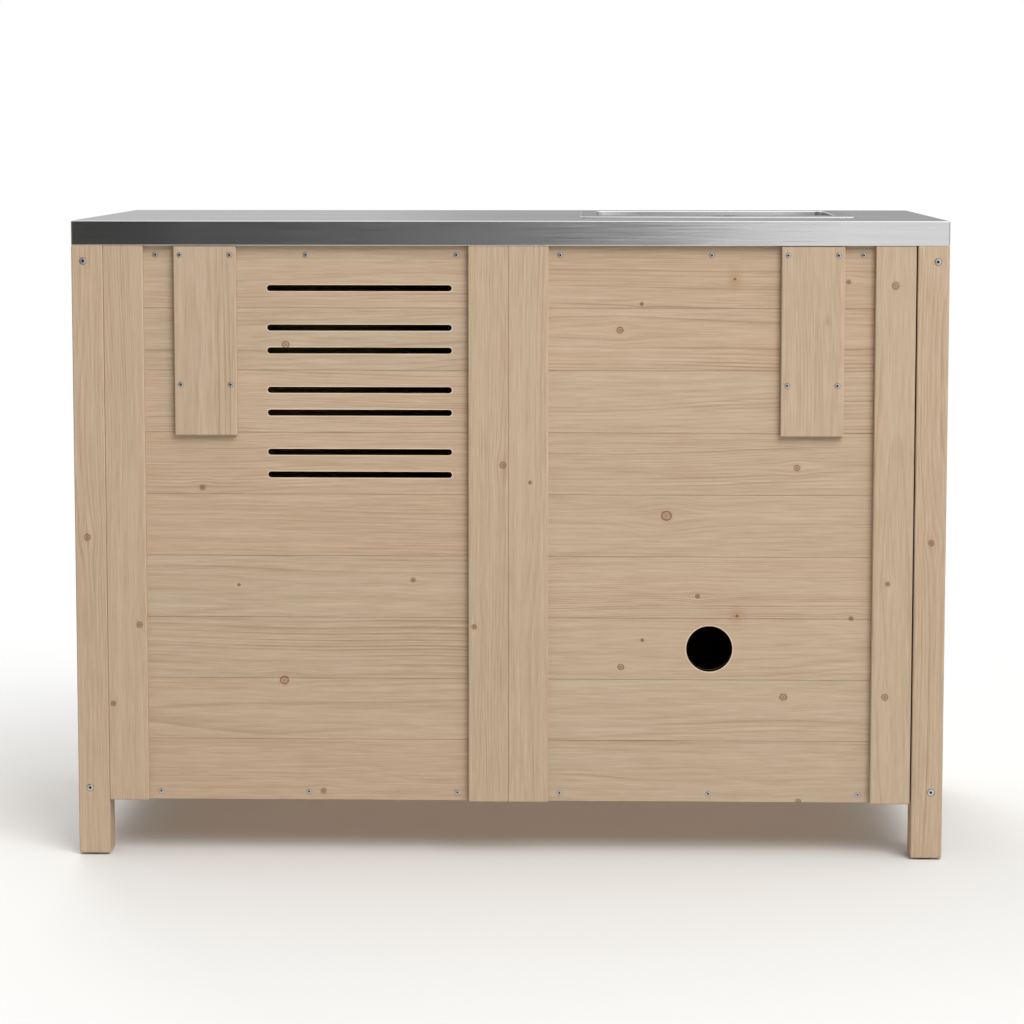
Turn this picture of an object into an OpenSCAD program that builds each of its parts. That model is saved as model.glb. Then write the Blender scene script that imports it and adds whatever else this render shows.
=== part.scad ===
// Outdoor sink cabinet: a softwood cabinet on four corner posts under a folded steel worktop.
// +Z is up and the ground is z = 0. The doors face -Y and the boarded back faces +Y.
// "left" and "right" are as seen from the front, so the sink and the drain hole are on the left.

/* [Overall size] */
// Width over the corner posts and of the worktop
body_w = 1200; // [1100:10:1400]
// Depth of the worktop
body_d = 600; // [580:10:700]
// Height of the worktop's underside above the ground
under_top = 850; // [800:10:900]
// Height of the lower edge of boards, doors and rails above the ground
under_body = 78; // [60:1:120]
// How far the worktop stands out over the front posts
top_overhang = 40; // [38:1:48]

/* [Posts and rails] */
// Width of a corner post
post_w = 43; // [40:1:60]
// Depth of a corner post
post_d = 45; // [42:1:60]
// Thickness of every rail
rail_t = 28; // [24:1:32]
// Height of the upper rails
top_rail_h = 43; // [38:1:60]
// Height of the lower rails
bottom_rail_h = 34; // [32:1:50]
// How far the side rails lie inside the posts' outer faces
side_rail_set = 2; // [1:0.5:5]
// Width of the small bevel along every timber edge
arris = 1.2; // [0.5:0.1:2]
// Thickness of the glides under the posts
glide_t = 2.5; // [1:0.5:5]
// Radius of the glides
glide_r = 15; // [8:1:18]

/* [Boards] */
// Width of the upright boards that frame a back panel or a door
stile_w = 55; // [45:1:70]
// Thickness of those upright boards
stile_t = 28; // [24:1:32]
// Thickness of the edge-glued panels
panel_t = 18; // [16:1:20]
// How far the frames lie inside the posts' faces
frame_set = 1; // [0.5:0.5:4]
// Number of lamellas in a full-height panel
boards = 9; // [8:1:11]
// Width of the fine line between two lamellas
line_w = 0.9; // [0.4:0.1:1.5]
// Length of the tongue on a panel's edge
tongue_l = 9; // [6:0.5:12]
// Thickness of that tongue
tongue_t = 8; // [6:0.5:10]
// Play all round a tongue in its groove
groove_play = 0.2; // [0.1:0.05:0.4]
// Gap between the back frame and the post at the sink end
post_gap = 2; // [1:0.5:4]
// Thickness of the partition and the floor board
inner_t = 18; // [15:1:22]

/* [Back] */
// Length of a ventilation slot
slot_l = 254; // [150:2:280]
// Height of a ventilation slot
slot_h = 8.5; // [6:0.5:12]
// Distance between the two slots in one lamella
slot_pitch = 31.4; // [20:0.2:40]
// Distance from the slots' end to the middle upright
slot_in = 22.6; // [15:0.2:40]
// Number of lamellas that have slots, from the top
slot_boards = 4; // [1:1:5]
// Diameter of the drain hole
drain_d = 64; // [50:1:80]
// Height of the drain hole above the boards' lower edge
drain_up = 215; // [150:5:300]
// Width of a cleat
cleat_w = 86; // [60:1:100]
// Height of a cleat
cleat_h = 260; // [220:5:300]
// Thickness of a cleat
cleat_t = 10; // [8:0.5:12]
// Distance from a cleat to the outer upright
cleat_in = 42; // [20:1:60]
// Gap between a cleat and the worktop
cleat_drop = 1; // [1:0.5:8]

/* [Screws] */
// Diameter of a panel screw's head
screw_head_d = 7; // [6:0.5:9]
// Diameter of a panel screw's shank
screw_d = 4; // [3:0.5:5]
// Length of a panel screw
screw_l = 40; // [36:1:43]
// Length of a cleat screw
cleat_screw_l = 26; // [20:1:26]
// Distance from a panel screw to the upright beside it
screw_in = 16; // [10:1:25]
// Distance from the upper panel screws to the worktop
screw_drop = 13; // [10:1:20]
// Distance from the lower panel screws to the panel's lower edge
screw_rise = 11; // [8:1:16]
// Distance from a cleat screw to the cleat's side
cleat_screw_in = 8.7; // [6:0.1:14]
// Distance from the upper cleat screws to the cleat's top
cleat_screw_drop = 12; // [8:1:20]
// Distance between the upper and lower cleat screws
cleat_screw_pitch = 178; // [120:2:190]
// Diameter of a post screw's head
post_screw_head_d = 9.5; // [8:0.5:12]
// Diameter of a post screw's shank
post_screw_d = 6; // [5:0.5:7]
// Length of a post screw
post_screw_l = 90; // [70:5:100]
// Radial play of a screw in its hole
screw_play = 0.1; // [0.05:0.05:0.3]

/* [Worktop] */
// Height of the worktop's edge
top_h = 34; // [28:1:45]
// Thickness of the steel skin
skin_t = 1; // [0.8:0.1:1.5]
// Outer radius of the skin's folds
fold_r = 1.8; // [1.6:0.1:3]
// Width of the skin's folded return under the edge
skin_return = 15; // [10:1:20]
// Play between the skin and its core
core_play = 0.1; // [0.05:0.05:0.3]

/* [Sink] */
// Distance from the worktop's left end to the sink's middle
sink_in = 310; // [295:5:330]
// Distance from the upper front rail to the sink's flange
sink_front = 7; // [5:1:40]
// Width of the sink's flange at each end of the bowl
flange_side = 23; // [22:1:30]
// Width of the flange's deck behind the bowl, which takes the tap
deck_d = 75; // [70:1:80]
// Corner radius of the flange
flange_r = 8; // [5:1:20]
// Width of the bowl at its rim
bowl_w = 342; // [320:1:360]
// Depth of the bowl at its rim, front to back
bowl_d = 255; // [240:1:270]
// Height of the bowl below the worktop's surface
bowl_h = 155; // [140:5:180]
// Distance from the bowl's front rim to the flange's front edge
bowl_front = 22; // [21:1:26]
// Upright corner radius of the bowl
bowl_r = 12; // [8:1:30]
// Radius between the bowl's walls and its floor
floor_r = 28; // [20:1:36]
// Radius of the roll between the flange and the bowl's walls
rim_r = 2; // [1.5:0.5:6]
// How far the bowl's walls lean in over their height
bowl_draft = 5; // [2:0.5:8]
// Fall of the bowl's floor towards the waste
floor_fall = 3; // [2:0.5:5]
// Thickness of the sink's sheet
sheet_t = 1; // [0.8:0.1:1.2]
// How far the cut-out lies inside the flange's edge
cut_in = 12; // [11:0.5:13]
// Corner radius of the cut-out
cut_r = 12; // [8:1:16]
// Thickness of the seal under the flange
seal_t = 1; // [0.8:0.1:1.5]
// Diameter of the tap hole
tap_d = 35; // [32:1:36]
// Distance from the tap hole's middle to the flange's rear edge
tap_back = 38; // [34:1:42]
// How far the tap hole lies to the left of the sink's middle
tap_off = 11; // [0:1:20]
// Distance of the clips from the middle of each side
clip_off = 95; // [60:5:110]
// Width of a clip
clip_w = 16; // [12:1:24]
// Thickness of a clip's strip
clip_t = 1.5; // [1:0.1:2]
// Reach of a clip under the worktop
clip_reach = 13; // [8:1:14]

/* [Waste and trap] */
// Outer radius of the strainer body
strainer_r = 43; // [40:0.5:46]
// Depth of the strainer body below the bowl's dish
strainer_h = 50; // [48:1:60]
// Width of the strainer's flange on the bowl's dish
strainer_lip = 12; // [9:0.5:14]
// Thickness of the strainer's metal and plastic walls
strainer_t = 2; // [1.5:0.1:3]
// Depth of the dish pressed into the bowl's floor
dish_h = 3; // [2:0.5:4]
// Depth of the lift-out basket
basket_h = 32; // [26:1:34]
// Radial play of the basket in the strainer
basket_play = 2; // [1:0.5:3]
// Number of slots round the basket
basket_slots = 16; // [12:1:24]
// Height of the basket's knob above its rim
knob_h = 6; // [4:0.5:10]
// Height of the large nut under the bowl
nut_h = 12; // [10:1:14]
// Thickness of the washer between the bowl and that nut
washer_t = 3; // [2:0.5:4]
// Outer radius of the drain pipes
pipe_r = 20; // [16:0.5:22]
// Wall of the drain pipes and the bottle
pipe_t = 2.2; // [1.8:0.1:3]
// Radial play between pipes, bottle and nuts
pipe_play = 0.3; // [0.2:0.05:0.5]
// Length of the strainer's threaded outlet
outlet_l = 24; // [22:1:34]
// Height of a slip nut
slip_h = 24; // [22:1:32]
// Wall of a slip nut
slip_t = 6; // [5:0.5:8]
// Length of the tail pipe between strainer and bottle
tail_l = 60; // [48:1:90]
// How far the tail pipe dips into the bottle
tail_dip = 62; // [50:1:70]
// Outer radius of the bottle
bottle_r = 36; // [34:0.5:42]
// Height of the bottle's body
bottle_h = 84; // [80:1:100]
// Height of the screw-off cup under the bottle
cup_h = 58; // [50:1:70]
// How far the cup reaches up round the bottle
cup_lap = 20; // [14:1:24]
// Length of the outlet pipe beyond its nut
stub_l = 60; // [40:1:90]
// Number of grip ribs round a nut
ribs = 16; // [10:1:24]
// Distance from the bowl's middle to the overflow, along the rear wall
overflow_off = 85; // [70:1:90]
// Distance from the overflow's middle to the worktop's surface
overflow_drop = 44; // [42:1:55]
// Radius of the overflow's grille
overflow_r = 16; // [14:0.5:18]
// Outer radius of the overflow pipe
hose_r = 9; // [8:0.5:10]
// Radius of the overflow pipe's bends
bend_r = 24; // [20:1:28]

/* [Doors] */
// Gap between a door and its post, which takes the hinge leaves
door_gap = 2; // [1.9:0.1:3]
// Gap between the two doors
door_meet = 3; // [2:0.5:5]
// Gap between a door and the worktop
door_drop = 3; // [2:0.5:6]
// Gap between a shut door and the rails behind it
door_stop = 1; // [0.8:0.1:2]
// Width of the upright behind the doors' meeting edges
mullion_w = 55; // [40:1:70]
// Diameter of a handle's bar
handle_d = 11; // [10:0.5:14]
// Length of a handle's bar
handle_l = 200; // [150:5:260]
// Distance between a handle's two feet
handle_pitch = 160; // [96:4:192]
// Clear space between a handle's bar and its door
handle_gap = 26; // [22:1:28]
// Distance from a handle's middle to its door's top
handle_drop = 150; // [140:5:300]

/* [Hinges and catches] */
// Height of a hinge
hinge_h = 76; // [60:1:100]
// Width of a hinge leaf
leaf_w = 24; // [18:1:26]
// Thickness of a hinge leaf
leaf_t = 0.9; // [0.7:0.05:0.9]
// Radius of a hinge's barrel
barrel_r = 3.2; // [2.8:0.1:4]
// Radius of a hinge pin
pin_r = 1.6; // [1.2:0.1:2]
// Radial play of the pin in the barrel
pin_play = 0.05; // [0.03:0.01:0.08]
// Distance from a hinge's middle to the door's end
hinge_in = 110; // [60:5:160]
// Distance from the upright behind the doors to a catch's middle
catch_out = 60; // [40:5:90]
// Length of a magnet catch
catch_l = 46; // [36:1:60]
// Height of a magnet catch
catch_h = 14; // [10:1:18]
// Depth of a magnet catch
catch_d = 15; // [12:1:18]
// Thickness of a strike plate
strike_t = 0.6; // [0.4:0.1:0.7]

/* [Hidden] */

$fn = 48;
eps = 0.01;      // overlap of joined shapes
past = 1;        // how far a cut runs past a face
spruce = [0.80, 0.66, 0.50];
spruce_dark = [0.74, 0.59, 0.43];
steel = [0.72, 0.73, 0.74];
grey_plastic = [0.45, 0.46, 0.47];
white_plastic = [0.90, 0.90, 0.88];
rubber = [0.12, 0.12, 0.13];

half_w = body_w / 2;
half_d = body_d / 2;
front_y = -half_d + top_overhang;               // front face of the front posts
mid_y = (front_y + half_d) / 2;                 // middle between front and rear faces
post_x = half_w - post_w;                       // inner face of the posts
rear_post_y = half_d - post_d;
front_post_y = front_y + post_d;
surface_z = under_top + top_h;
core_z = under_top + skin_t;                    // underside of the worktop's core

frame_w = post_x - post_gap / 2;                // width of one back frame
back_panel_w = frame_w - 2 * stile_w;
back_x = [-post_x + post_gap + frame_w / 2, post_x - frame_w / 2];
frame_recess = stile_t - panel_t;
rear_face_y = half_d - frame_set;               // outer face of the back frames
panel_face_y = rear_face_y - frame_recess;
rear_inner_y = rear_face_y - stile_t;           // plane where the back rails start
stop_y = front_y + frame_set + stile_t + door_stop;
board_h = (under_top - under_body) / boards;
groove_deep = tongue_l + groove_play;
groove_wide = tongue_t + 2 * groove_play;
side_low = under_body + bottom_rail_h;
side_high = under_top - top_rail_h;
side_rail_x = half_w - side_rail_set - rail_t / 2;
side_len = rear_post_y - front_post_y;
floor_z = side_low + inner_t;                   // top of the floor board
floor_play = 0.5;

door_w = post_x - door_gap - door_meet / 2;
door_high = under_top - door_drop;
door_x = door_meet / 2 + door_w / 2;
door_face_y = front_y + frame_set;
hinge_x = post_x - door_gap / 2;                // the hinge axis, on the right
barrel_play = 0.2;                              // barrel in front of the post's face
hinge_y = front_y - barrel_r - barrel_play;
knuckles = 5;
knuckle_gap = 0.2;
pin_head_h = 1.2;
catch_x = mullion_w / 2 + catch_out;
catch_play = 0.2;

sink_x = -half_w + sink_in;
flange_w = bowl_w + 2 * flange_side;
flange_d = bowl_front + bowl_d + deck_d;
flange_front_y = stop_y + rail_t + sink_front;
flange_rear_y = flange_front_y + flange_d;
flange_y = flange_front_y + flange_d / 2;
bowl_y = flange_front_y + bowl_front + bowl_d / 2;
flange_z = surface_z + seal_t;                  // underside of the flange
rim_z = flange_z + sheet_t;                     // top of the flange
bowl_floor_z = surface_z - bowl_h;
low_corner_r = 2;                               // corner radius where the walls meet the floor
corner_ease = min(0.4, (bowl_r - low_corner_r) / (bowl_draft + floor_r));  // tightening downwards
dish_edge_z = bowl_floor_z - floor_fall;
dish_z = dish_edge_z - dish_h;                  // top of the dish that holds the strainer
dish_under_z = dish_z - sheet_t;
lip_r = strainer_r + strainer_lip;
dish_r = lip_r + 1;
hole_play = 0.5;                                // strainer body in the bowl's hole
overflow_z = surface_z - overflow_drop;
overflow_x = sink_x - overflow_off;
cut_w = flange_w - 2 * cut_in;
cut_d = flange_d - 2 * cut_in;

lip_t = 1.5;                                    // thickness of the strainer's flange
strainer_low = dish_z - strainer_h;             // floor of the strainer body
strainer_in_r = strainer_r - strainer_t;
outlet_low = strainer_low - outlet_l;
hose_t = 1.5;                                   // wall of the overflow pipe
hose_gap = 0.1;                                 // between the upright and each bend
port_r = hose_r + 2;                            // side port for the overflow pipe
port_z = strainer_low + port_r + 2;
port_l = 12;
thread_r = pipe_r + 3;                          // outer radius of the threaded ends
bore_r = pipe_r - pipe_t;
collar_h = 4;
tail_low = outlet_low - collar_h - tail_l;
bottle_top = tail_low;
boss_h = 22;                                    // threaded neck on the bottle
shoulder_z = bottle_top - boss_h;
bottle_low = shoulder_z - bottle_h;
branch_z = shoulder_z - pipe_r - 12;            // axis of the bottle's side outlet
branch_l = 24;                                  // length of the threaded side outlet
cup_in_r = bottle_r + pipe_play;
cup_top = bottle_low + cup_lap;
branch_y = bowl_y + bottle_r + branch_l;        // end of the side outlet

// timber bars have a small bevel on all their edges; centred in x and y, standing on z = 0
module bevel_2d(w, h) {
  x = w / 2;
  y = h / 2;
  polygon([[-x + arris, -y], [x - arris, -y], [x, -y + arris], [x, y - arris],
           [x - arris, y], [-x + arris, y], [-x, y - arris], [-x, -y + arris]]);
}

module timber(w, d, h) {
  intersection() {
    linear_extrude(h) bevel_2d(w, d);
    rotate([90, 0, 0]) linear_extrude(d, center = true) translate([0, h / 2]) bevel_2d(w, h);
    rotate([90, 0, 90]) linear_extrude(w, center = true) translate([0, h / 2]) bevel_2d(d, h);
  }
}

module round_rect(w, d, r) {
  square([w - 2 * r, d], center = true);
  square([w, d - 2 * r], center = true);
  for (x = [-1, 1], y = [-1, 1]) translate([x * (w / 2 - r), y * (d / 2 - r)]) circle(r);
}

// a fine V line between two lamellas, along x
module v_line(length) {
  side = line_w / sqrt(2);
  rotate([45, 0, 0]) cube([length, side, side], center = true);
}

// the level lines across both faces of an upright board whose outer face is y = 0
module lamella_lines(w, t, low, high) {
  for (k = [1:boards - 1], y = [0, t]) {
    z = under_body + k * board_h;
    if (z > low + line_w && z < high - line_w) translate([0, y, z]) v_line(w + 2 * past);
  }
}

// an edge-glued panel with a tongue on its sides, and on its ends if asked; outer face y = 0
module panel(w, low, high, end_tongue) {
  difference() {
    union() {
      translate([-w / 2, 0, low]) cube([w, panel_t, high - low]);
      translate([-w / 2 - tongue_l, (panel_t - tongue_t) / 2, low - end_tongue])
        cube([w + 2 * tongue_l, tongue_t, high - low + 2 * end_tongue]);
    }
    lamella_lines(w, panel_t, low, high);
  }
}

// the panel of a back frame or a door, set back from the uprights' faces
module framed_panel(w, high)
  translate([0, frame_recess, 0]) panel(w, under_body, high, 0);

// a grooved upright beside such a panel, centred in x; the groove is on the side given
module upright(low, high, groove_side) {
  difference() {
    translate([0, stile_t / 2, low]) timber(stile_w, stile_t, high - low);
    translate([groove_side * stile_w / 2, stile_t - panel_t / 2, (low + high) / 2])
      cube([2 * groove_deep, groove_wide, high - low + 2 * past], center = true);
  }
}

// places a piece whose outer face is y = 0 in a back frame or in a door
module on_back(x) translate([x, rear_face_y, 0]) rotate([0, 0, 180]) children();
module on_front(x) translate([x, door_face_y, 0]) children();

// a countersunk screw along -z with its head's top on z = 0
module screw(head_d, d, l) {
  head_h = (head_d - d) / 2;
  tip_h = 1.5 * d;
  difference() {
    union() {
      translate([0, 0, -head_h]) cylinder(h = head_h, r1 = d / 2, r2 = head_d / 2);
      translate([0, 0, -l + tip_h]) cylinder(h = l - tip_h - head_h, r = d / 2);
      translate([0, 0, -l]) cylinder(h = tip_h, r1 = d / 10, r2 = d / 2);
    }
    translate([0, 0, -d / 2]) cylinder(h = d, r = d / 3, $fn = 6);
  }
}

module screw_hole(head_d, d, l) {
  head_h = (head_d - d) / 2;
  r = d / 2 + screw_play;
  head_r = head_d / 2 + screw_play;
  translate([0, 0, -l - past]) cylinder(h = l + past, r = r);
  translate([0, 0, -head_h]) cylinder(h = head_h, r1 = r, r2 = head_r);
  cylinder(h = cleat_t, r = head_r);
}

// the screws' places: heads in the panels' faces, shanks towards -y
module at_panel_screws() {
  edge = back_panel_w / 2 - screw_in;
  for (x = back_x, dx = [-edge, 0, edge], z = [under_body + screw_rise, under_top - screw_drop])
    translate([x + dx, panel_face_y, z]) rotate([-90, 0, 0]) children();
}

function cleat_x(side) = (side < 0 ? back_x[0] : back_x[1])
  + side * (back_panel_w / 2 - cleat_in - cleat_w / 2);

module at_cleat_screws(side) {
  top = under_top - cleat_drop - cleat_screw_drop;
  for (dx = [-1, 1], z = [top - cleat_screw_pitch, top])
    translate([cleat_x(side) + dx * (cleat_w / 2 - cleat_screw_in), panel_face_y + cleat_t, z])
      rotate([-90, 0, 0]) children();
}

module at_post_screws() {
  for (side = [-1, 1], z = [under_body + bottom_rail_h / 2, under_top - top_rail_h / 2])
    translate([side * side_rail_x, half_d, z]) rotate([-90, 0, 0]) children();
}

module panel_screw_holes() at_panel_screws() screw_hole(screw_head_d, screw_d, screw_l);
module cleat_screw_holes(side)
  at_cleat_screws(side) screw_hole(screw_head_d, screw_d, cleat_screw_l);
module post_screw_holes()
  at_post_screws() screw_hole(post_screw_head_d, post_screw_d, post_screw_l);

// side is -1 on the left and 1 on the right; end is -1 at the front and 1 at the back
module post(side, end) {
  y = end > 0 ? half_d - post_d / 2 : front_y + post_d / 2;
  color(spruce) difference() {
    translate([side * (half_w - post_w / 2), y, glide_t]) timber(post_w, post_d, under_top - glide_t);
    translate([side * side_rail_x, y - end * post_d / 2, (side_low + side_high) / 2])
      cube([groove_wide, 2 * groove_deep, side_high - side_low + 2 * groove_deep], center = true);
    post_screw_holes();
  }
}

module post_rear_left() post(-1, 1);
module post_rear_right() post(1, 1);
module post_front_left() post(-1, -1);
module post_front_right() post(1, -1);

module foot_glides() {
  bevel = glide_t / 3;
  color(rubber) for (x = [-1, 1], y = [front_y + post_d / 2, half_d - post_d / 2])
    translate([x * (half_w - post_w / 2), y, 0]) {
      cylinder(h = bevel, r1 = glide_r - bevel, r2 = glide_r);
      translate([0, 0, bevel]) cylinder(h = glide_t - bevel, r = glide_r);
    }
}

module side_rail(side, low, h, groove_z) {
  color(spruce_dark) difference() {
    translate([side * side_rail_x, mid_y, low]) timber(rail_t, side_len, h);
    translate([side * side_rail_x, mid_y, groove_z])
      cube([groove_wide, side_len + 2 * past, 2 * groove_deep], center = true);
    post_screw_holes();
  }
}

module side_rail_top_left() side_rail(-1, side_high, top_rail_h, side_high);
module side_rail_top_right() side_rail(1, side_high, top_rail_h, side_high);
module side_rail_bottom_left() side_rail(-1, under_body, bottom_rail_h, side_low);
module side_rail_bottom_right() side_rail(1, under_body, bottom_rail_h, side_low);

module side_panel(side) {
  color(spruce) translate([side * (side_rail_x + panel_t / 2), mid_y, 0]) rotate([0, 0, side * 90])
    panel(side_len, side_low, side_high, tongue_l);
}

module side_panel_left() side_panel(-1);
module side_panel_right() side_panel(1);

// cross rails between the posts, behind the back frames and behind the doors
module cross_rail(y, low, high) {
  color(spruce_dark) difference() {
    translate([0, y, low]) timber(2 * post_x, rail_t, high - low);
    panel_screw_holes();
  }
}

module rear_rail_top() cross_rail(rear_inner_y - rail_t / 2, side_high, core_z);
module rear_rail_bottom() cross_rail(rear_inner_y - rail_t / 2, under_body, side_low);
module front_rail_top() cross_rail(stop_y + rail_t / 2, side_high, core_z);
module front_rail_bottom() cross_rail(stop_y + rail_t / 2, under_body, side_low);

module front_mullion() {
  color(spruce_dark) translate([0, stop_y + rail_t / 2, floor_z])
    timber(mullion_w, rail_t, side_high - floor_z);
}

module centre_partition() {
  front = stop_y + rail_t;
  rail_y = rear_inner_y - rail_t;
  color(spruce) difference() {
    rotate([90, 0, 90]) linear_extrude(inner_t, center = true)
      polygon([[front, floor_z], [rear_inner_y, floor_z], [rear_inner_y, side_high],
               [rail_y, side_high], [rail_y, core_z], [front, core_z]]);
    translate([inner_t / 2, mid_y, 0]) rotate([0, 0, 90])
      lamella_lines(body_d, inner_t, floor_z, core_z);
  }
}

module floor_board() {
  w = 2 * (side_rail_x - panel_t / 2 - floor_play);
  rear = rear_inner_y - floor_play;
  color(spruce) difference() {
    translate([-w / 2, stop_y, side_low]) cube([w, rear - stop_y, inner_t]);
    for (x = [-1, 1], y = [front_y + post_d / 2, half_d - post_d / 2])
      translate([x * (half_w - post_w / 2), y, side_low])
        cube([post_w + 2 * floor_play, post_d + 2 * floor_play, 3 * inner_t], center = true);
    for (y = [stop_y + board_h:board_h:rear - line_w], z = [0, inner_t])
      translate([0, y, side_low + z]) v_line(w + 2 * past);
  }
}

// bay is 0 on the left and 1 on the right; side is the side of the bay
module rear_stile(bay, side) {
  color(spruce) on_back(back_x[bay]) translate([-side * (frame_w - stile_w) / 2, 0, 0])
    upright(under_body, under_top, side);
}

module rear_stile_left_outer() rear_stile(0, -1);
module rear_stile_left_inner() rear_stile(0, 1);
module rear_stile_right_inner() rear_stile(1, -1);
module rear_stile_right_outer() rear_stile(1, 1);

module rear_panel_drain() {
  color(spruce) difference() {
    on_back(back_x[0]) framed_panel(back_panel_w, under_top);
    translate([back_x[0], rear_face_y, under_body + drain_up]) rotate([90, 0, 0])
      cylinder(h = 3 * stile_t, r = drain_d / 2, center = true);
    panel_screw_holes();
    cleat_screw_holes(-1);
  }
}

module vent_slot() {
  straight = slot_l - slot_h;
  rotate([90, 0, 0]) linear_extrude(3 * stile_t, center = true) {
    square([straight, slot_h], center = true);
    for (x = [-1, 1]) translate([x * straight / 2, 0]) circle(slot_h / 2);
  }
}

module rear_panel_vented() {
  slot_x = back_x[1] - back_panel_w / 2 + slot_in + slot_l / 2;
  color(spruce) difference() {
    on_back(back_x[1]) framed_panel(back_panel_w, under_top);
    for (k = [0:slot_boards - 1], s = k == 0 ? [-1] : [1, -1])
      translate([slot_x, rear_face_y, under_top - (k + 0.5) * board_h + s * slot_pitch / 2])
        vent_slot();
    panel_screw_holes();
    cleat_screw_holes(1);
  }
}

module cleat(side) {
  color(spruce) difference() {
    translate([cleat_x(side), panel_face_y + cleat_t / 2, under_top - cleat_drop - cleat_h])
      timber(cleat_w, cleat_t, cleat_h);
    cleat_screw_holes(side);
  }
}

module cleat_left() cleat(-1);
module cleat_right() cleat(1);

// a slab with rounded upper edges, as folded sheet has them
module folded_2d(w, h, r) {
  translate([-w / 2, 0]) square([w, h - r]);
  translate([-w / 2 + r, 0]) square([w - 2 * r, h]);
  for (x = [-1, 1]) translate([x * (w / 2 - r), h - r]) circle(r);
}

module folded_slab(w, d, h, r) {
  intersection() {
    rotate([90, 0, 0]) linear_extrude(d, center = true) folded_2d(w, h, r);
    rotate([90, 0, 90]) linear_extrude(w, center = true) folded_2d(d, h, r);
  }
}

module sink_cut_out() {
  translate([sink_x, flange_y, under_top - past]) linear_extrude(top_h + 2 * past)
    round_rect(cut_w, cut_d, cut_r);
}

module worktop_skin() {
  inset = 2 * (skin_t + skin_return);
  color(steel) difference() {
    translate([0, 0, under_top]) folded_slab(body_w, body_d, top_h, fold_r);
    translate([0, 0, core_z])
      folded_slab(body_w - 2 * skin_t, body_d - 2 * skin_t, top_h - 2 * skin_t, fold_r - skin_t);
    translate([0, 0, under_top]) cube([body_w - inset, body_d - inset, 4 * skin_t], center = true);
    sink_cut_out();
  }
}

module worktop_core() {
  inset = 2 * (skin_t + core_play);
  color(spruce_dark) difference() {
    translate([0, 0, core_z]) folded_slab(body_w - inset, body_d - inset,
                                          top_h - 2 * skin_t - core_play, fold_r - skin_t);
    sink_cut_out();
  }
}

// The pressed bowl is lofted through level outlines. Each has a half width, a half depth, a
// corner radius and a height; its corners are arcs.
corner_steps = 8;
function outline(h, r, z) = [for (k = [0:3], i = [0:corner_steps])
  let (a = 90 * (k + i / corner_steps), sx = k == 0 || k == 3 ? 1 : -1, sy = k < 2 ? 1 : -1)
  [sx * (h.x - r) + r * cos(a), sy * (h.y - r) + r * sin(a), z]];

// the bowl's outline drawn in by a; its corners tighten less than its sides move
function bowl_outline(a, z) =
  outline([bowl_w / 2 - a, bowl_d / 2 - a], bowl_r - (a > 0 ? corner_ease : 1) * a, z);

// how far the wall leans in at a height
wall_top_z = rim_z - rim_r;
wall_low_z = bowl_floor_z + floor_r;
function wall_lean(z) = bowl_draft * (wall_top_z - z) / (wall_top_z - wall_low_z);

// outlines of the roll, wall, floor radius and floor; off is 0 inside and the sheet's thickness
// outside, and start_z is where the first outline lies
function bowl_form(off, start_z) = concat(
  [bowl_outline(-rim_r, start_z)],
  [for (a = [0:22.5:90]) bowl_outline(-rim_r + (rim_r - off) * sin(a),
                                      wall_top_z + (rim_r - off) * cos(a))],
  [for (a = [0:15:90]) bowl_outline(bowl_draft + floor_r - (floor_r + off) * cos(a),
                                    wall_low_z - (floor_r + off) * sin(a))],
  [outline([dish_r + 6, dish_r + 6], 0.9 * dish_r, dish_edge_z - off)]);

module loft(outlines) {
  n = len(outlines[0]);
  m = len(outlines);
  sides = [for (i = [0:m - 2], j = [0:n - 1])
    let (a = i * n + j, b = i * n + (j + 1) % n, c = b + n, d = a + n) each [[a, b, c], [a, c, d]]];
  top = [for (j = [n - 1:-1:0]) j];
  low = [for (j = [0:n - 1]) (m - 1) * n + j];
  polyhedron([for (o = outlines) each o], concat([top, low], sides));
}

module sink_bowl() {
  color(steel) difference() {
    union() {
      translate([sink_x, flange_y, 0]) {
        translate([0, 0, flange_z]) linear_extrude(sheet_t) round_rect(flange_w, flange_d, flange_r);
        translate([0, 0, surface_z + core_play]) linear_extrude(seal_t - core_play) difference() {
          round_rect(flange_w, flange_d, flange_r);
          round_rect(flange_w - 2 * sheet_t, flange_d - 2 * sheet_t, flange_r - sheet_t);
        }
      }
      translate([sink_x, bowl_y, 0]) {
        loft(bowl_form(sheet_t, flange_z + sheet_t / 2));
        translate([0, 0, dish_under_z])
          cylinder(h = dish_edge_z - dish_under_z, r1 = dish_r + sheet_t, r2 = dish_r + 3);
      }
    }
    translate([sink_x, bowl_y, 0]) {
      loft(bowl_form(0, rim_z + past));
      translate([0, 0, dish_z]) cylinder(h = dish_h + eps, r1 = dish_r, r2 = dish_r + 2);
      translate([0, 0, dish_under_z - past]) cylinder(h = bowl_h, r = strainer_r + hole_play);
    }
    translate([sink_x - tap_off, flange_rear_y - tap_back, surface_z])
      cylinder(h = 4 * seal_t + 4 * sheet_t, r = tap_d / 2);
    translate([overflow_x, bowl_y + bowl_d / 2, overflow_z]) rotate([90, 0, 0])
      cylinder(h = 2 * bend_r, r = hose_r + hole_play, center = true);
  }
}

module sink_seal() {
  inset = 2 * (sheet_t + hole_play);
  color(rubber) translate([sink_x, flange_y, surface_z]) linear_extrude(seal_t) difference() {
    round_rect(flange_w - inset, flange_d - inset, flange_r - inset / 2);
    round_rect(cut_w, cut_d, cut_r);
  }
}

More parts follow.
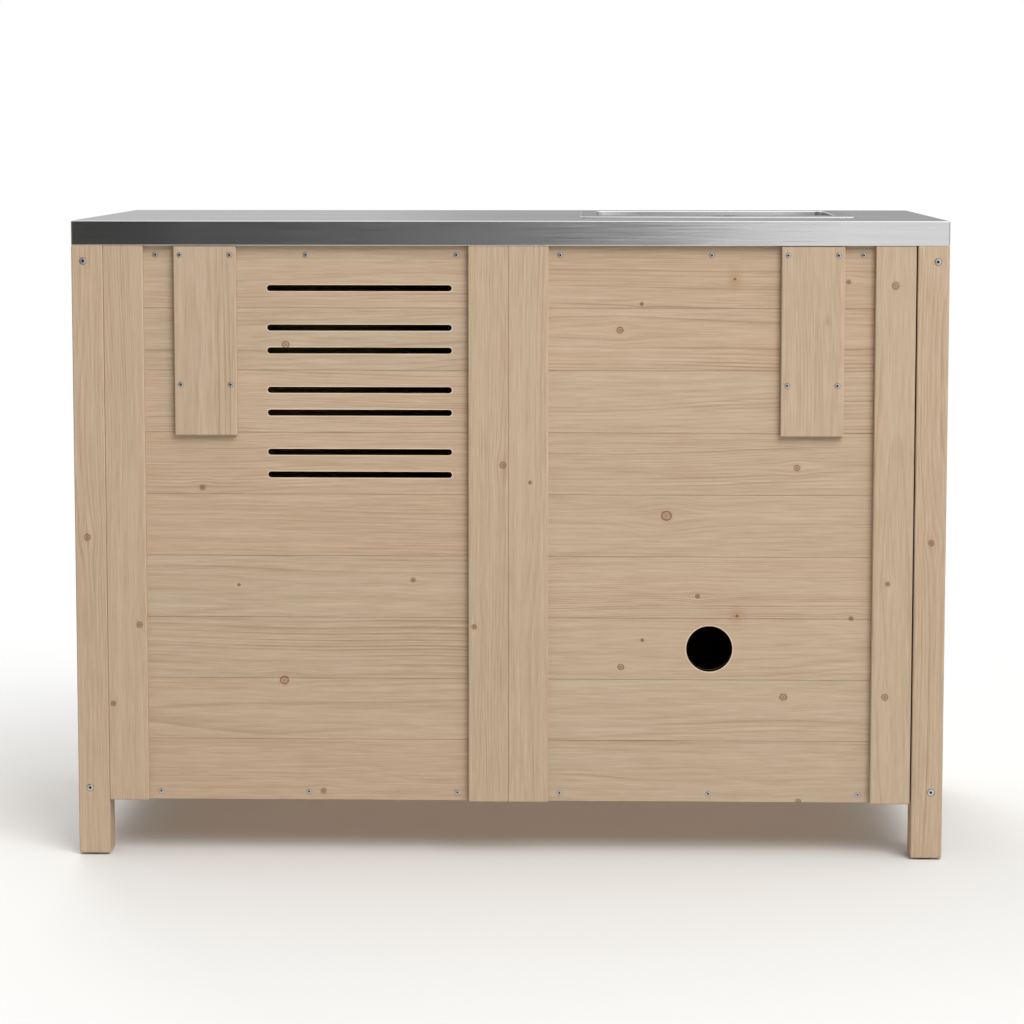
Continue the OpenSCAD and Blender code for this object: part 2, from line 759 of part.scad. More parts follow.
// a clip that hooks under the flange and under the core; the cut-out's edge is x = 0
module clip() {
  back = -1;
  foot = core_z - core_play;
  rotate([90, 0, 0]) linear_extrude(clip_w, center = true)
    polygon([[back - clip_t, foot - clip_t], [clip_reach, foot - clip_t], [clip_reach, foot],
             [back, foot], [back, flange_z - core_play], [back - clip_t, flange_z - core_play]]);
}

module sink_clips() {
  color(steel) translate([sink_x, flange_y, 0]) for (off = [-clip_off, clip_off], turn = [0, 180]) {
    rotate([0, 0, turn]) translate([cut_w / 2, off, 0]) clip();
    rotate([0, 0, turn + 90]) translate([cut_d / 2, off, 0]) clip();
  }
}

module at_waste() translate([sink_x, bowl_y, 0]) children();

// the overflow pipe's port on the strainer body points at the overflow's upright pipe
overflow_wall_y = bowl_y + bowl_d / 2 - wall_lean(overflow_z);
upright_y = overflow_wall_y + bend_r + 6;
port_turn = atan2(upright_y - bowl_y, overflow_x - sink_x);
port_run = norm([upright_y - bowl_y, overflow_x - sink_x]);

module strainer_body() {
  color(steel) at_waste() difference() {
    union() {
      rotate_extrude() polygon([
        [strainer_in_r, dish_z + lip_t], [lip_r - 1, dish_z + lip_t], [lip_r, dish_z],
        [strainer_r, dish_z], [strainer_r, strainer_low], [thread_r, strainer_low - 2],
        [thread_r, outlet_low], [bore_r, outlet_low], [bore_r, strainer_low + strainer_t],
        [strainer_in_r, strainer_low + 2 * strainer_t]]);
      translate([0, 0, port_z]) rotate([0, 90, port_turn])
        translate([0, 0, strainer_in_r]) cylinder(h = strainer_t + port_l, r = port_r);
    }
    translate([0, 0, port_z]) rotate([0, 90, port_turn])
      cylinder(h = strainer_r + 2 * port_l, r = hose_r + pipe_play);
    cylinder(h = dish_z, r = bore_r);
  }
}

module ring(r_in, r_out, h) {
  linear_extrude(h) difference() {
    circle(r_out);
    circle(r_in);
  }
}

// a nut with grip ribs round it
module ribbed_ring(r_in, r_out, h) {
  rib_r = 1.5;
  linear_extrude(h) difference() {
    union() {
      circle(r_out);
      for (k = [0:ribs - 1]) rotate(k * 360 / ribs) translate([r_out, 0]) circle(rib_r);
    }
    circle(r_in);
  }
}

module strainer_washer() {
  color(rubber) at_waste() translate([0, 0, dish_under_z - washer_t])
    ring(strainer_r + pipe_play, lip_r - 3, washer_t);
}

module strainer_nut() {
  color(grey_plastic) at_waste() translate([0, 0, dish_under_z - washer_t - nut_h])
    ribbed_ring(strainer_r + pipe_play, lip_r - 3, nut_h);
}

basket_t = 1.6;
basket_r = strainer_in_r - basket_play;
basket_seat = dish_z + lip_t + 0.1;             // the rim rests here, a hair over the strainer

module strainer_basket() {
  low = basket_seat - basket_h;
  rim_top = basket_seat + basket_t;
  taper = 3;
  stem_r = 3;
  knob_r = 7;
  color(steel) at_waste() difference() {
    rotate_extrude() polygon([
      [0, low], [basket_r - taper, low], [basket_r, basket_seat], [strainer_r + 2, basket_seat],
      [strainer_r + 2, rim_top], [basket_r - basket_t, rim_top],
      [basket_r - taper - basket_t, low + basket_t], [stem_r, low + basket_t],
      [stem_r, rim_top + knob_h - 3], [knob_r, rim_top + knob_h - 2], [knob_r, rim_top + knob_h],
      [0, rim_top + knob_h]]);
    for (k = [0:basket_slots - 1]) rotate([0, 0, k * 360 / basket_slots])
      translate([basket_r - taper / 2, 0, low + basket_h / 2])
        cube([4 * basket_t + taper, 4, basket_h - 12], center = true);
    for (row = [1, 2], k = [0:6 * row - 1]) rotate([0, 0, k * 60 / row])
      translate([row * (basket_r - taper) / 2.7, 0, low - past])
        cylinder(h = basket_t + 2 * past, r = 3);
  }
}

module overflow_grille() {
  face_y = bowl_y + bowl_d / 2 - wall_lean(overflow_z - overflow_r) - 0.2;
  plate_t = 1.5;
  hub_r = hose_r - hose_t - pipe_play;
  slot_r = hub_r - plate_t;
  color(steel) translate([overflow_x, face_y, overflow_z]) rotate([90, 0, 0]) {
    difference() {
      cylinder(h = plate_t, r1 = overflow_r, r2 = overflow_r - 1);
      for (x = [-2:2]) translate([x * slot_r / 2.5, 0, 0])
        cube([slot_r / 4, 2 * slot_r * cos(x * 25), 4 * plate_t], center = true);
    }
    translate([0, 0, -4]) ring(slot_r, hub_r, 4 + eps);
  }
}

// the overflow pipe: back from the wall, down, and in to the strainer's port
module elbow() {
  rotate_extrude(angle = 90) translate([bend_r, 0]) difference() {
    circle(hose_r);
    circle(hose_r - hose_t);
  }
}

// two moulded bends with an upright pipe between them
module overflow_pipe() {
  wall_out = overflow_wall_y + sheet_t + 1;
  low = port_z + bend_r;
  end = strainer_r + 1;
  color(white_plastic) {
    translate([overflow_x, wall_out, overflow_z]) rotate([-90, 0, 0]) {
      ring(hose_r - hose_t, hose_r + 5, 2);
      ring(hose_r - hose_t, hose_r, upright_y - bend_r - wall_out);
    }
    translate([overflow_x, upright_y - bend_r, overflow_z - bend_r]) rotate([90, 0, 90]) elbow();
    translate([overflow_x, upright_y, low + hose_gap])
      ring(hose_r - hose_t, hose_r, overflow_z - bend_r - low - 2 * hose_gap);
    at_waste() rotate([0, 0, port_turn]) {
      translate([port_run - bend_r, 0, low]) rotate([-90, 0, 0]) elbow();
      translate([end, 0, port_z]) rotate([0, 90, 0])
        ring(hose_r - hose_t, hose_r, port_run - bend_r - end);
    }
  }
}

module trap_tail_pipe() {
  color(white_plastic) at_waste() {
    translate([0, 0, bottle_top - tail_dip]) ring(bore_r, pipe_r, tail_dip + tail_l);
    translate([0, 0, outlet_low - collar_h]) ring(bore_r, thread_r, collar_h);
  }
}

module trap_bottle() {
  in_r = bottle_r - pipe_t;
  slope = 8;
  color(white_plastic) at_waste() difference() {
    union() {
      rotate_extrude() polygon([
        [pipe_r + pipe_play, bottle_top], [thread_r, bottle_top], [thread_r, shoulder_z],
        [bottle_r, shoulder_z - slope], [bottle_r, bottle_low], [in_r, bottle_low],
        [in_r, shoulder_z - slope - 1], [pipe_r + pipe_play, shoulder_z - pipe_t]]);
      translate([0, 0, branch_z]) rotate([-90, 0, 0])
        translate([0, 0, in_r]) cylinder(h = bottle_r - in_r + branch_l, r = thread_r);
    }
    translate([0, 0, branch_z]) rotate([-90, 0, 0])
      cylinder(h = bottle_r + 2 * branch_l, r = bore_r);
    translate([0, 0, bottle_low + eps]) cylinder(h = shoulder_z - slope - 1 - bottle_low, r = in_r);
  }
}

module trap_cup() {
  low = cup_top - cup_h;
  color(white_plastic) at_waste() difference() {
    union() {
      translate([0, 0, low + 6]) ribbed_ring(cup_in_r, cup_in_r + pipe_t, cup_h - 6);
      rotate_extrude() polygon([
        [0, low], [cup_in_r - 6, low], [cup_in_r + pipe_t, low + 6], [cup_in_r + pipe_t, cup_top],
        [cup_in_r, cup_top], [cup_in_r, low + 8], [cup_in_r - 6, low + pipe_t], [0, low + pipe_t]]);
    }
    translate([0, 0, low + 8]) cylinder(h = cup_h, r = cup_in_r);
  }
}

module trap_outlet_pipe() {
  color(white_plastic) translate([sink_x, branch_y, branch_z]) rotate([-90, 0, 0]) {
    ring(bore_r, pipe_r, collar_h + stub_l);
    ring(bore_r, thread_r, collar_h);
  }
}

// a slip nut on a threaded end that points to -z and ends at z = 0; its lip holds a collar
module slip_nut(collar) {
  lip = 3;
  in_r = thread_r + pipe_play;
  low = -collar - pipe_play - lip;
  difference() {
    translate([0, 0, low]) ribbed_ring(pipe_r + pipe_play, in_r + slip_t, slip_h);
    translate([0, 0, low + lip]) cylinder(h = slip_h, r = in_r);
  }
}

module trap_nuts() {
  color(grey_plastic) {
    at_waste() {
      translate([0, 0, outlet_low]) slip_nut(collar_h);
      translate([0, 0, bottle_top]) rotate([180, 0, 0]) slip_nut(0);
    }
    translate([sink_x, branch_y, branch_z]) rotate([90, 0, 0]) slip_nut(collar_h);
  }
}

// end is 1 for the hinge's side of a door and -1 for its free side
module door_stile(side, end) {
  color(spruce) on_front(side * (door_x + end * (door_w - stile_w) / 2))
    upright(under_body, door_high, -side * end);
}

module door_panel(side) {
  color(spruce) on_front(side * door_x) framed_panel(door_w - 2 * stile_w, door_high);
}

module door_left_hinge_stile() door_stile(-1, 1);
module door_left_free_stile() door_stile(-1, -1);
module door_left_panel() door_panel(-1);
module door_right_hinge_stile() door_stile(1, 1);
module door_right_free_stile() door_stile(1, -1);
module door_right_panel() door_panel(1);

module handle(side) {
  r = handle_d / 2;
  straight = handle_l - handle_d;
  reach = handle_gap + r;
  color(steel) translate([side * (door_meet + stile_w) / 2, door_face_y, door_high - handle_drop]) {
    translate([0, -reach, -straight / 2]) {
      cylinder(h = straight, r = r);
      for (z = [0, straight]) translate([0, 0, z]) sphere(r);
    }
    for (z = [-1, 1]) translate([0, 0, z * handle_pitch / 2]) rotate([90, 0, 0]) {
      cylinder(h = reach, r = r - 1.5);
      cylinder(h = 2.5, r = r + 2);
    }
  }
}

module door_left_handle() handle(-1);
module door_right_handle() handle(1);

// places children at each hinge, the right-hand ones as drawn and the left-hand ones mirrored
module at_hinges(side) {
  for (z = [under_body + hinge_in, door_high - hinge_in])
    mirror([side < 0 ? 1 : 0, 0, 0]) translate([hinge_x, hinge_y, z - hinge_h / 2]) children();
}

// a hinge leaf in the gap, with every second knuckle of the barrel from the first one given
module leaf(x_low, first) {
  knuckle_h = hinge_h / knuckles;
  plate_y = barrel_r + barrel_play;
  difference() {
    union() {
      translate([x_low, plate_y, 0]) cube([leaf_t, leaf_w, hinge_h]);
      for (k = [first:2:knuckles - 1]) translate([0, 0, k * knuckle_h + knuckle_gap / 2]) {
        cylinder(h = knuckle_h - knuckle_gap, r = barrel_r);
        translate([x_low, 0, 0]) cube([leaf_t, plate_y + eps, knuckle_h - knuckle_gap]);
      }
    }
    translate([0, 0, -past]) cylinder(h = hinge_h + 2 * past, r = pin_r + pin_play);
    for (z = [1 / 6, 1 / 2, 5 / 6]) translate([0, plate_y + leaf_w / 2, z * hinge_h])
      rotate([0, 90, 0]) cylinder(h = 2 * door_gap, r = screw_d / 2, center = true);
  }
}

module hinge_post_leaves() {
  color(steel) for (side = [-1, 1]) at_hinges(side) leaf(door_gap / 2 - leaf_t, 0);
}

module hinge_leaves_left() {
  color(steel) at_hinges(-1) leaf(-door_gap / 2, 1);
}

module hinge_leaves_right() {
  color(steel) at_hinges(1) leaf(-door_gap / 2, 1);
}

module hinge_pins() {
  color(steel) for (side = [-1, 1]) at_hinges(side) {
    translate([0, 0, -pin_head_h]) cylinder(h = hinge_h + 2 * pin_head_h, r = pin_r);
    for (z = [-pin_head_h, hinge_h]) translate([0, 0, z]) cylinder(h = pin_head_h, r = barrel_r - 0.5);
  }
}

// a magnet catch under the upper front rail: a body with an ear at each side and two pole plates
module magnet_catches() {
  ear = 8;
  ear_t = 3;
  pole_t = 1.2;
  for (side = [-1, 1]) translate([side * catch_x, stop_y + catch_play, side_high]) {
    color(white_plastic) difference() {
      union() {
        translate([-catch_l / 2 + ear, pole_t, -catch_h])
          cube([catch_l - 2 * ear, catch_d - pole_t, catch_h]);
        translate([-catch_l / 2, catch_d - 10, -ear_t]) cube([catch_l, 10, ear_t]);
      }
      for (x = [-1, 1]) translate([x * (catch_l - ear) / 2, catch_d - 5, -2 * ear_t])
        cylinder(h = 4 * ear_t, r = screw_d / 2);
    }
    color(steel) for (z = [-catch_h + 2, -2 - pole_t])
      translate([-catch_l / 2 + ear + 2, 0, z]) cube([catch_l - 2 * ear - 4, 2 * pole_t, pole_t]);
  }
}

module strike_plate(side) {
  w = catch_l - 12;
  color(steel) translate([side * catch_x - w / 2, stop_y - door_stop, side_high - catch_h])
    cube([w, strike_t, catch_h]);
}

module strike_plate_left() strike_plate(-1);
module strike_plate_right() strike_plate(1);

module panel_screws() {
  color(steel) at_panel_screws() screw(screw_head_d, screw_d, screw_l);
}

module cleat_screws() {
  color(steel) for (side = [-1, 1]) at_cleat_screws(side)
    screw(screw_head_d, screw_d, cleat_screw_l);
}

module post_screws() {
  color(steel) at_post_screws() screw(post_screw_head_d, post_screw_d, post_screw_l);
}

post_rear_left();
post_rear_right();
post_front_left();
post_front_right();
foot_glides();
side_rail_top_left();
side_rail_bottom_left();
side_rail_top_right();
side_rail_bottom_right();
side_panel_left();
side_panel_right();
rear_rail_top();
rear_rail_bottom();
front_rail_top();
front_rail_bottom();
front_mullion();
centre_partition();
floor_board();
rear_stile_left_outer();
rear_stile_left_inner();
rear_stile_right_inner();
rear_stile_right_outer();
rear_panel_drain();
rear_panel_vented();
cleat_left();
cleat_right();
worktop_skin();
worktop_core();
sink_bowl();
sink_seal();
sink_clips();
strainer_body();
strainer_washer();
strainer_nut();
strainer_basket();
overflow_grille();
overflow_pipe();
trap_tail_pipe();
trap_bottle();
trap_cup();
trap_outlet_pipe();
trap_nuts();
door_left_hinge_stile();
door_left_free_stile();
door_left_panel();
door_left_handle();
door_right_hinge_stile();
door_right_free_stile();
door_right_panel();
door_right_handle();
hinge_post_leaves();
hinge_leaves_left();
hinge_leaves_right();
hinge_pins();
magnet_catches();
strike_plate_left();
strike_plate_right();
panel_screws();
cleat_screws();
post_screws();
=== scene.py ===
import bpy
import bmesh
import math
import random
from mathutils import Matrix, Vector


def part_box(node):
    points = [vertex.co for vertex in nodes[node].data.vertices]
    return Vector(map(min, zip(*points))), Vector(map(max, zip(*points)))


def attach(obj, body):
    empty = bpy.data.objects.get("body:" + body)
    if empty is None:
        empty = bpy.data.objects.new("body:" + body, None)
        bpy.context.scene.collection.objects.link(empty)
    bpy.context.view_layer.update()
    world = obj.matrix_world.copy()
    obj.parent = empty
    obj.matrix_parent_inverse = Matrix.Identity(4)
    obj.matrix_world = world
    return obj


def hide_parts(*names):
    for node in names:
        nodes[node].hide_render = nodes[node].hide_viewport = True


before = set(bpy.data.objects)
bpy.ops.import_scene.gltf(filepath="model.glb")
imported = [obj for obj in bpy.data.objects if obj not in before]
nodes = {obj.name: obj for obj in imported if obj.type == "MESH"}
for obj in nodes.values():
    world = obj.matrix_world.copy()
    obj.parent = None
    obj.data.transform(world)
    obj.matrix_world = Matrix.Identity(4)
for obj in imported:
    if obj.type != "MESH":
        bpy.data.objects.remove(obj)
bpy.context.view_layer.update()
scene = bpy.context.scene
scene.view_settings.view_transform = "Standard"
scene.view_settings.look = "None"
print("frame loaded:", len(nodes), "nodes")

camera = {
    "place": (-0.1207, 4.5, 0.9997),
    "turn": 0.0277,          # radians away from straight along -Y
    "dip": 0.1021,           # radians below level
    "lens": 108.13,
    "sensor": 36,
    "shiftY": -0.06,
    "clip": (0.1, 200),
}


def makeCamera(c):
    data = bpy.data.cameras.new("photoCamera")
    data.lens = c["lens"]
    data.sensor_width = c["sensor"]
    data.shift_y = c["shiftY"]
    data.clip_start, data.clip_end = c["clip"]
    obj = bpy.data.objects.new("photoCamera", data)
    look = Vector((math.sin(c["turn"]) * math.cos(c["dip"]),
                   -math.cos(c["turn"]) * math.cos(c["dip"]), -math.sin(c["dip"])))
    obj.location = c["place"]
    obj.rotation_mode = "QUATERNION"
    obj.rotation_quaternion = look.to_track_quat("-Z", "Y")
    scene.collection.objects.link(obj)
    scene.camera = obj


makeCamera(camera)


class Graph:
    # adds nodes to a tree, laid out in rows, and joins them
    def __init__(self, tree):
        self.tree = tree
        self.count = 0

    def give(self, socket, value):
        # a value that is itself a socket is linked, any other is set
        if isinstance(value, bpy.types.NodeSocket):
            self.tree.links.new(value, socket)
        else:
            socket.default_value = value

    def add(self, kind, inputs=None, **settings):
        node = self.tree.nodes.new(kind)
        node.location = (220 * (self.count % 12), -260 * (self.count // 12))
        self.count += 1
        for key, value in settings.items():
            setattr(node, key, value)
        for key, value in (inputs or {}).items():
            self.give(node.inputs[key], value)
        return node

    def group(self, tree, inputs):
        return self.add("ShaderNodeGroup", inputs, node_tree=tree).outputs

    def math(self, how, *values, clamp=False):
        node = self.add("ShaderNodeMath", dict(enumerate(values)), operation=how, use_clamp=clamp)
        return node.outputs[0]

    def vector(self, how, *values, out=0):
        inputs = dict(enumerate(values))
        if how == "SCALE":
            inputs["Scale"] = inputs.pop(1)
        return self.add("ShaderNodeVectorMath", inputs, operation=how).outputs[out]

    def between(self, chance, low, high):
        # low where chance is 0, high where it is 1
        return self.math("MULTIPLY_ADD", chance, high - low, low)

    def squares(self, u, v):
        return self.math("ADD", self.math("MULTIPLY", u, u), self.math("MULTIPLY", v, v))

    def bell(self, u, v):
        # 1 in the middle, and hardly anything beyond a distance of 2
        return self.math("EXPONENT", self.math("MULTIPLY", self.squares(u, v), -1.0))

    def split(self, vector):
        return self.add("ShaderNodeSeparateXYZ", {0: vector}).outputs

    def join(self, x, y, z):
        return self.add("ShaderNodeCombineXYZ", {0: x, 1: y, 2: z}).outputs[0]

    def noise(self, vector, scale=1.0, detail=2.0, rough=0.5):
        node = self.add("ShaderNodeTexNoise", {"Vector": vector, "Scale": scale, "Detail": detail,
                                               "Roughness": rough})
        return node.outputs["Fac"]

    def random(self, value, colour=False):
        node = self.add("ShaderNodeTexWhiteNoise", {"W": value}, noise_dimensions="1D")
        return node.outputs["Color" if colour else "Value"]

    def ramp(self, value, low, high, outLow=0.0, outHigh=1.0, smooth=True):
        node = self.add("ShaderNodeMapRange", {0: value, 1: low, 2: high, 3: outLow, 4: outHigh},
                        interpolation_type="SMOOTHSTEP" if smooth else "LINEAR")
        return node.outputs[0]

    def mix(self, factor, a, b):
        node = self.add("ShaderNodeMix", data_type="RGBA")
        for index, value in ((0, factor), (6, a), (7, b)):
            self.give(node.inputs[index], value)
        return node.outputs[2]

    def mixVector(self, factor, a, b):
        return self.add("ShaderNodeMix", {0: factor, 4: a, 5: b}, data_type="VECTOR").outputs[1]

    def mixValue(self, factor, a, b):
        return self.add("ShaderNodeMix", {0: factor, 2: a, 3: b}).outputs[0]

    def bump(self, shader, height, strength, distance, **inputs):
        node = self.add("ShaderNodeBump", {"Height": height, "Strength": strength,
                                           "Distance": distance, **inputs})
        self.give(shader.inputs["Normal"], node.outputs[0])


def shaderGroup(name, inputs, outputs):
    group = bpy.data.node_groups.new(name, "ShaderNodeTree")
    for label, kind in inputs:
        group.interface.new_socket(label, in_out="INPUT", socket_type=kind)
    for label, kind in outputs:
        group.interface.new_socket(label, in_out="OUTPUT", socket_type=kind)
    g = Graph(group)
    return group, g, g.add("NodeGroupInput").outputs, g.add("NodeGroupOutput").inputs


def newMaterial(name, **settings):
    mat = bpy.data.materials.new(name)
    mat.use_nodes = True
    mat.node_tree.nodes.clear()
    g = Graph(mat.node_tree)
    shader = g.add("ShaderNodeBsdfPrincipled", settings)
    g.add("ShaderNodeOutputMaterial", {"Surface": shader.outputs[0]})
    return mat, g, shader


def dress(node, mat):
    mesh = nodes[node].data
    mesh.materials.clear()
    mesh.materials.append(mat)


def rgb(r, g, b):
    return (r, g, b, 1.0)


spruce = {
    "pale": rgb(0.497, 0.383, 0.276),        # early wood
    "warm": rgb(0.475, 0.357, 0.249),        # slow darker streaks
    "late": rgb(0.272, 0.160, 0.086),        # thin late wood lines
    "ringWidth": (2.3, 3.9),                 # millimetres, from board to board
    "pithAcross": (-130.0, 130.0),           # the log's middle, in millimetres from the board's:
    "pithDeep": (-30.0, -150.0),             # beside or behind it, so most lines are straight
    "wander": 22.0,                          # how far, in millimetres, rings stray along a board
    "wanderDeep": 11.0,
    "waviness": 2.6,
    "unevenness": 4.0,                       # of the rings' widths
    "lateEnd": (0.86, 0.98),                 # part of a year's growth at which late wood stops
    "lineStrength": 0.80,
    "ringSpread": (0.24, 1.12),              # how lines differ in strength from ring to ring,
    "boardSpread": (0.55, 1.30),             # from board to board,
    "patchSpread": (0.34, 0.70, 0.40, 1.22), # and from patch to patch
    "flatSawn": (0.0, 0.30, 0.30, 1.0),      # the same, where the saw ran nearly along a ring
    "warmParts": (0.32, 0.70),
    "fibres": 0.50,                          # how strongly fibres, and broader strands, show
    "strands": 0.30,
    "mean": 1.01,
    "boardTones": (-0.03, 0.03),
    "castLow": (1.020, 0.992, 0.970),        # boards differ between these tints
    "castHigh": (0.980, 1.004, 1.012),
    "rough": 0.68,
    "relief": 0.00010,                       # metres
    "stain": (0.87, 0.79, 0.71),
    "shadeHeights": (0.10, 0.75),                 # painted shade by height: metres, between these tones:
    "shadeTones": (0.955, 1.03),
    "joint": (0.32, 0.68, 0.76, 1.0),        # millimetres from a glue line, and the tones there
    "cutShade": rgb(0.010, 0.0055, 0.0035),   # painted shade inside slots and holes
    "cutShadeInset": 0.6,                        # millimetres from the board's faces
    "cutRimLight": 1.42,                           # painted highlight: how much paler their rims are drawn
    "cutRimLightWidth": (1.7, 1.0),
}

# patterns in the grain: how close they are, per millimetre, along, across and into a board
patterns = {
    "wave": (0.006, 0.03, 0.03),
    "patch": (0.0028, 0.022, 0.022),
    "fibre": (0.022, 0.72, 0.72),
    "strand": (0.011, 0.40, 0.40),
    "streak": (0.003, 0.13, 0.13),
}

knotLook = {
    "heart": rgb(0.230, 0.130, 0.075),
    "rim": rgb(0.145, 0.062, 0.028),
    "reach": (4.2, 2.4),                     # radii along and across within which grain bends
    "push": -0.66,                           # how far the grain is pushed aside
    "size": (0.82, 0.78),                    # of the dark figure, in radii
    "coreSize": (3.4, 1.4),                  # millimetres from the middle, outer and inner
    "coreFades": (4.6, 6.6, 1.0, 0.45),      # with larger radii the heart is less dark
    "ragged": (-0.22, 0.22),                 # how uneven its outline is, in radii
    "halo": (2.1, 0.9, 0.0, 0.20),           # radii from and to, strengths there
    "haloTint": (0.88, 0.79, 0.69),
    "insideTint": (0.80, 0.68, 0.58),
    "insideFrom": (1.08, 0.86),              # radii between which each part sets in
    "rimOutside": (1.18, 1.02),
    "rimInside": (0.68, 0.88),
    "rings": (17.0, 0.13, 0.16),             # inside: how close, how strong, how dark they are
    "inside": 0.60,                          # strengths of the three dark parts
    "rimStrength": 0.68,
    "core": 0.60,
}


def makeKnotGroup(k):
    # one knot: pushes the grain round itself and reports how near the point is, in radii, and
    # how dark its heart is there: a small knot is nearly all heart
    group, g, given, out = shaderGroup(
        "knotInGrain",
        [("Point", "NodeSocketVector"), ("Near", "NodeSocketFloat"), ("Core", "NodeSocketFloat"),
         ("Centre", "NodeSocketVector"), ("Radius", "NodeSocketFloat")],
        [("Point", "NodeSocketVector"), ("Near", "NodeSocketFloat"), ("Core", "NodeSocketFloat")])
    away = g.vector("SUBTRACT", given["Point"], given["Centre"])
    x, y, z = g.split(away)

    def inRadii(sizes):
        return [g.math("DIVIDE", d, g.math("MULTIPLY", given["Radius"], size))
                for d, size in zip((x, y), sizes)]

    fall = g.bell(*inRadii(k["reach"]))
    push = g.math("MULTIPLY", g.math("MULTIPLY", y, fall), k["push"])
    g.give(out["Point"], g.vector("ADD", given["Point"], g.join(0.0, push, 0.0)))
    near = g.math("SQRT", g.squares(*inRadii(k["size"])))
    g.give(out["Near"], g.math("MINIMUM", near, given["Near"]))
    core = g.math("MULTIPLY", g.ramp(g.math("MULTIPLY", near, given["Radius"]), *k["coreSize"]),
                  g.ramp(given["Radius"], *k["coreFades"]))
    g.give(out["Core"], g.math("MAXIMUM", core, given["Core"]))
    return group


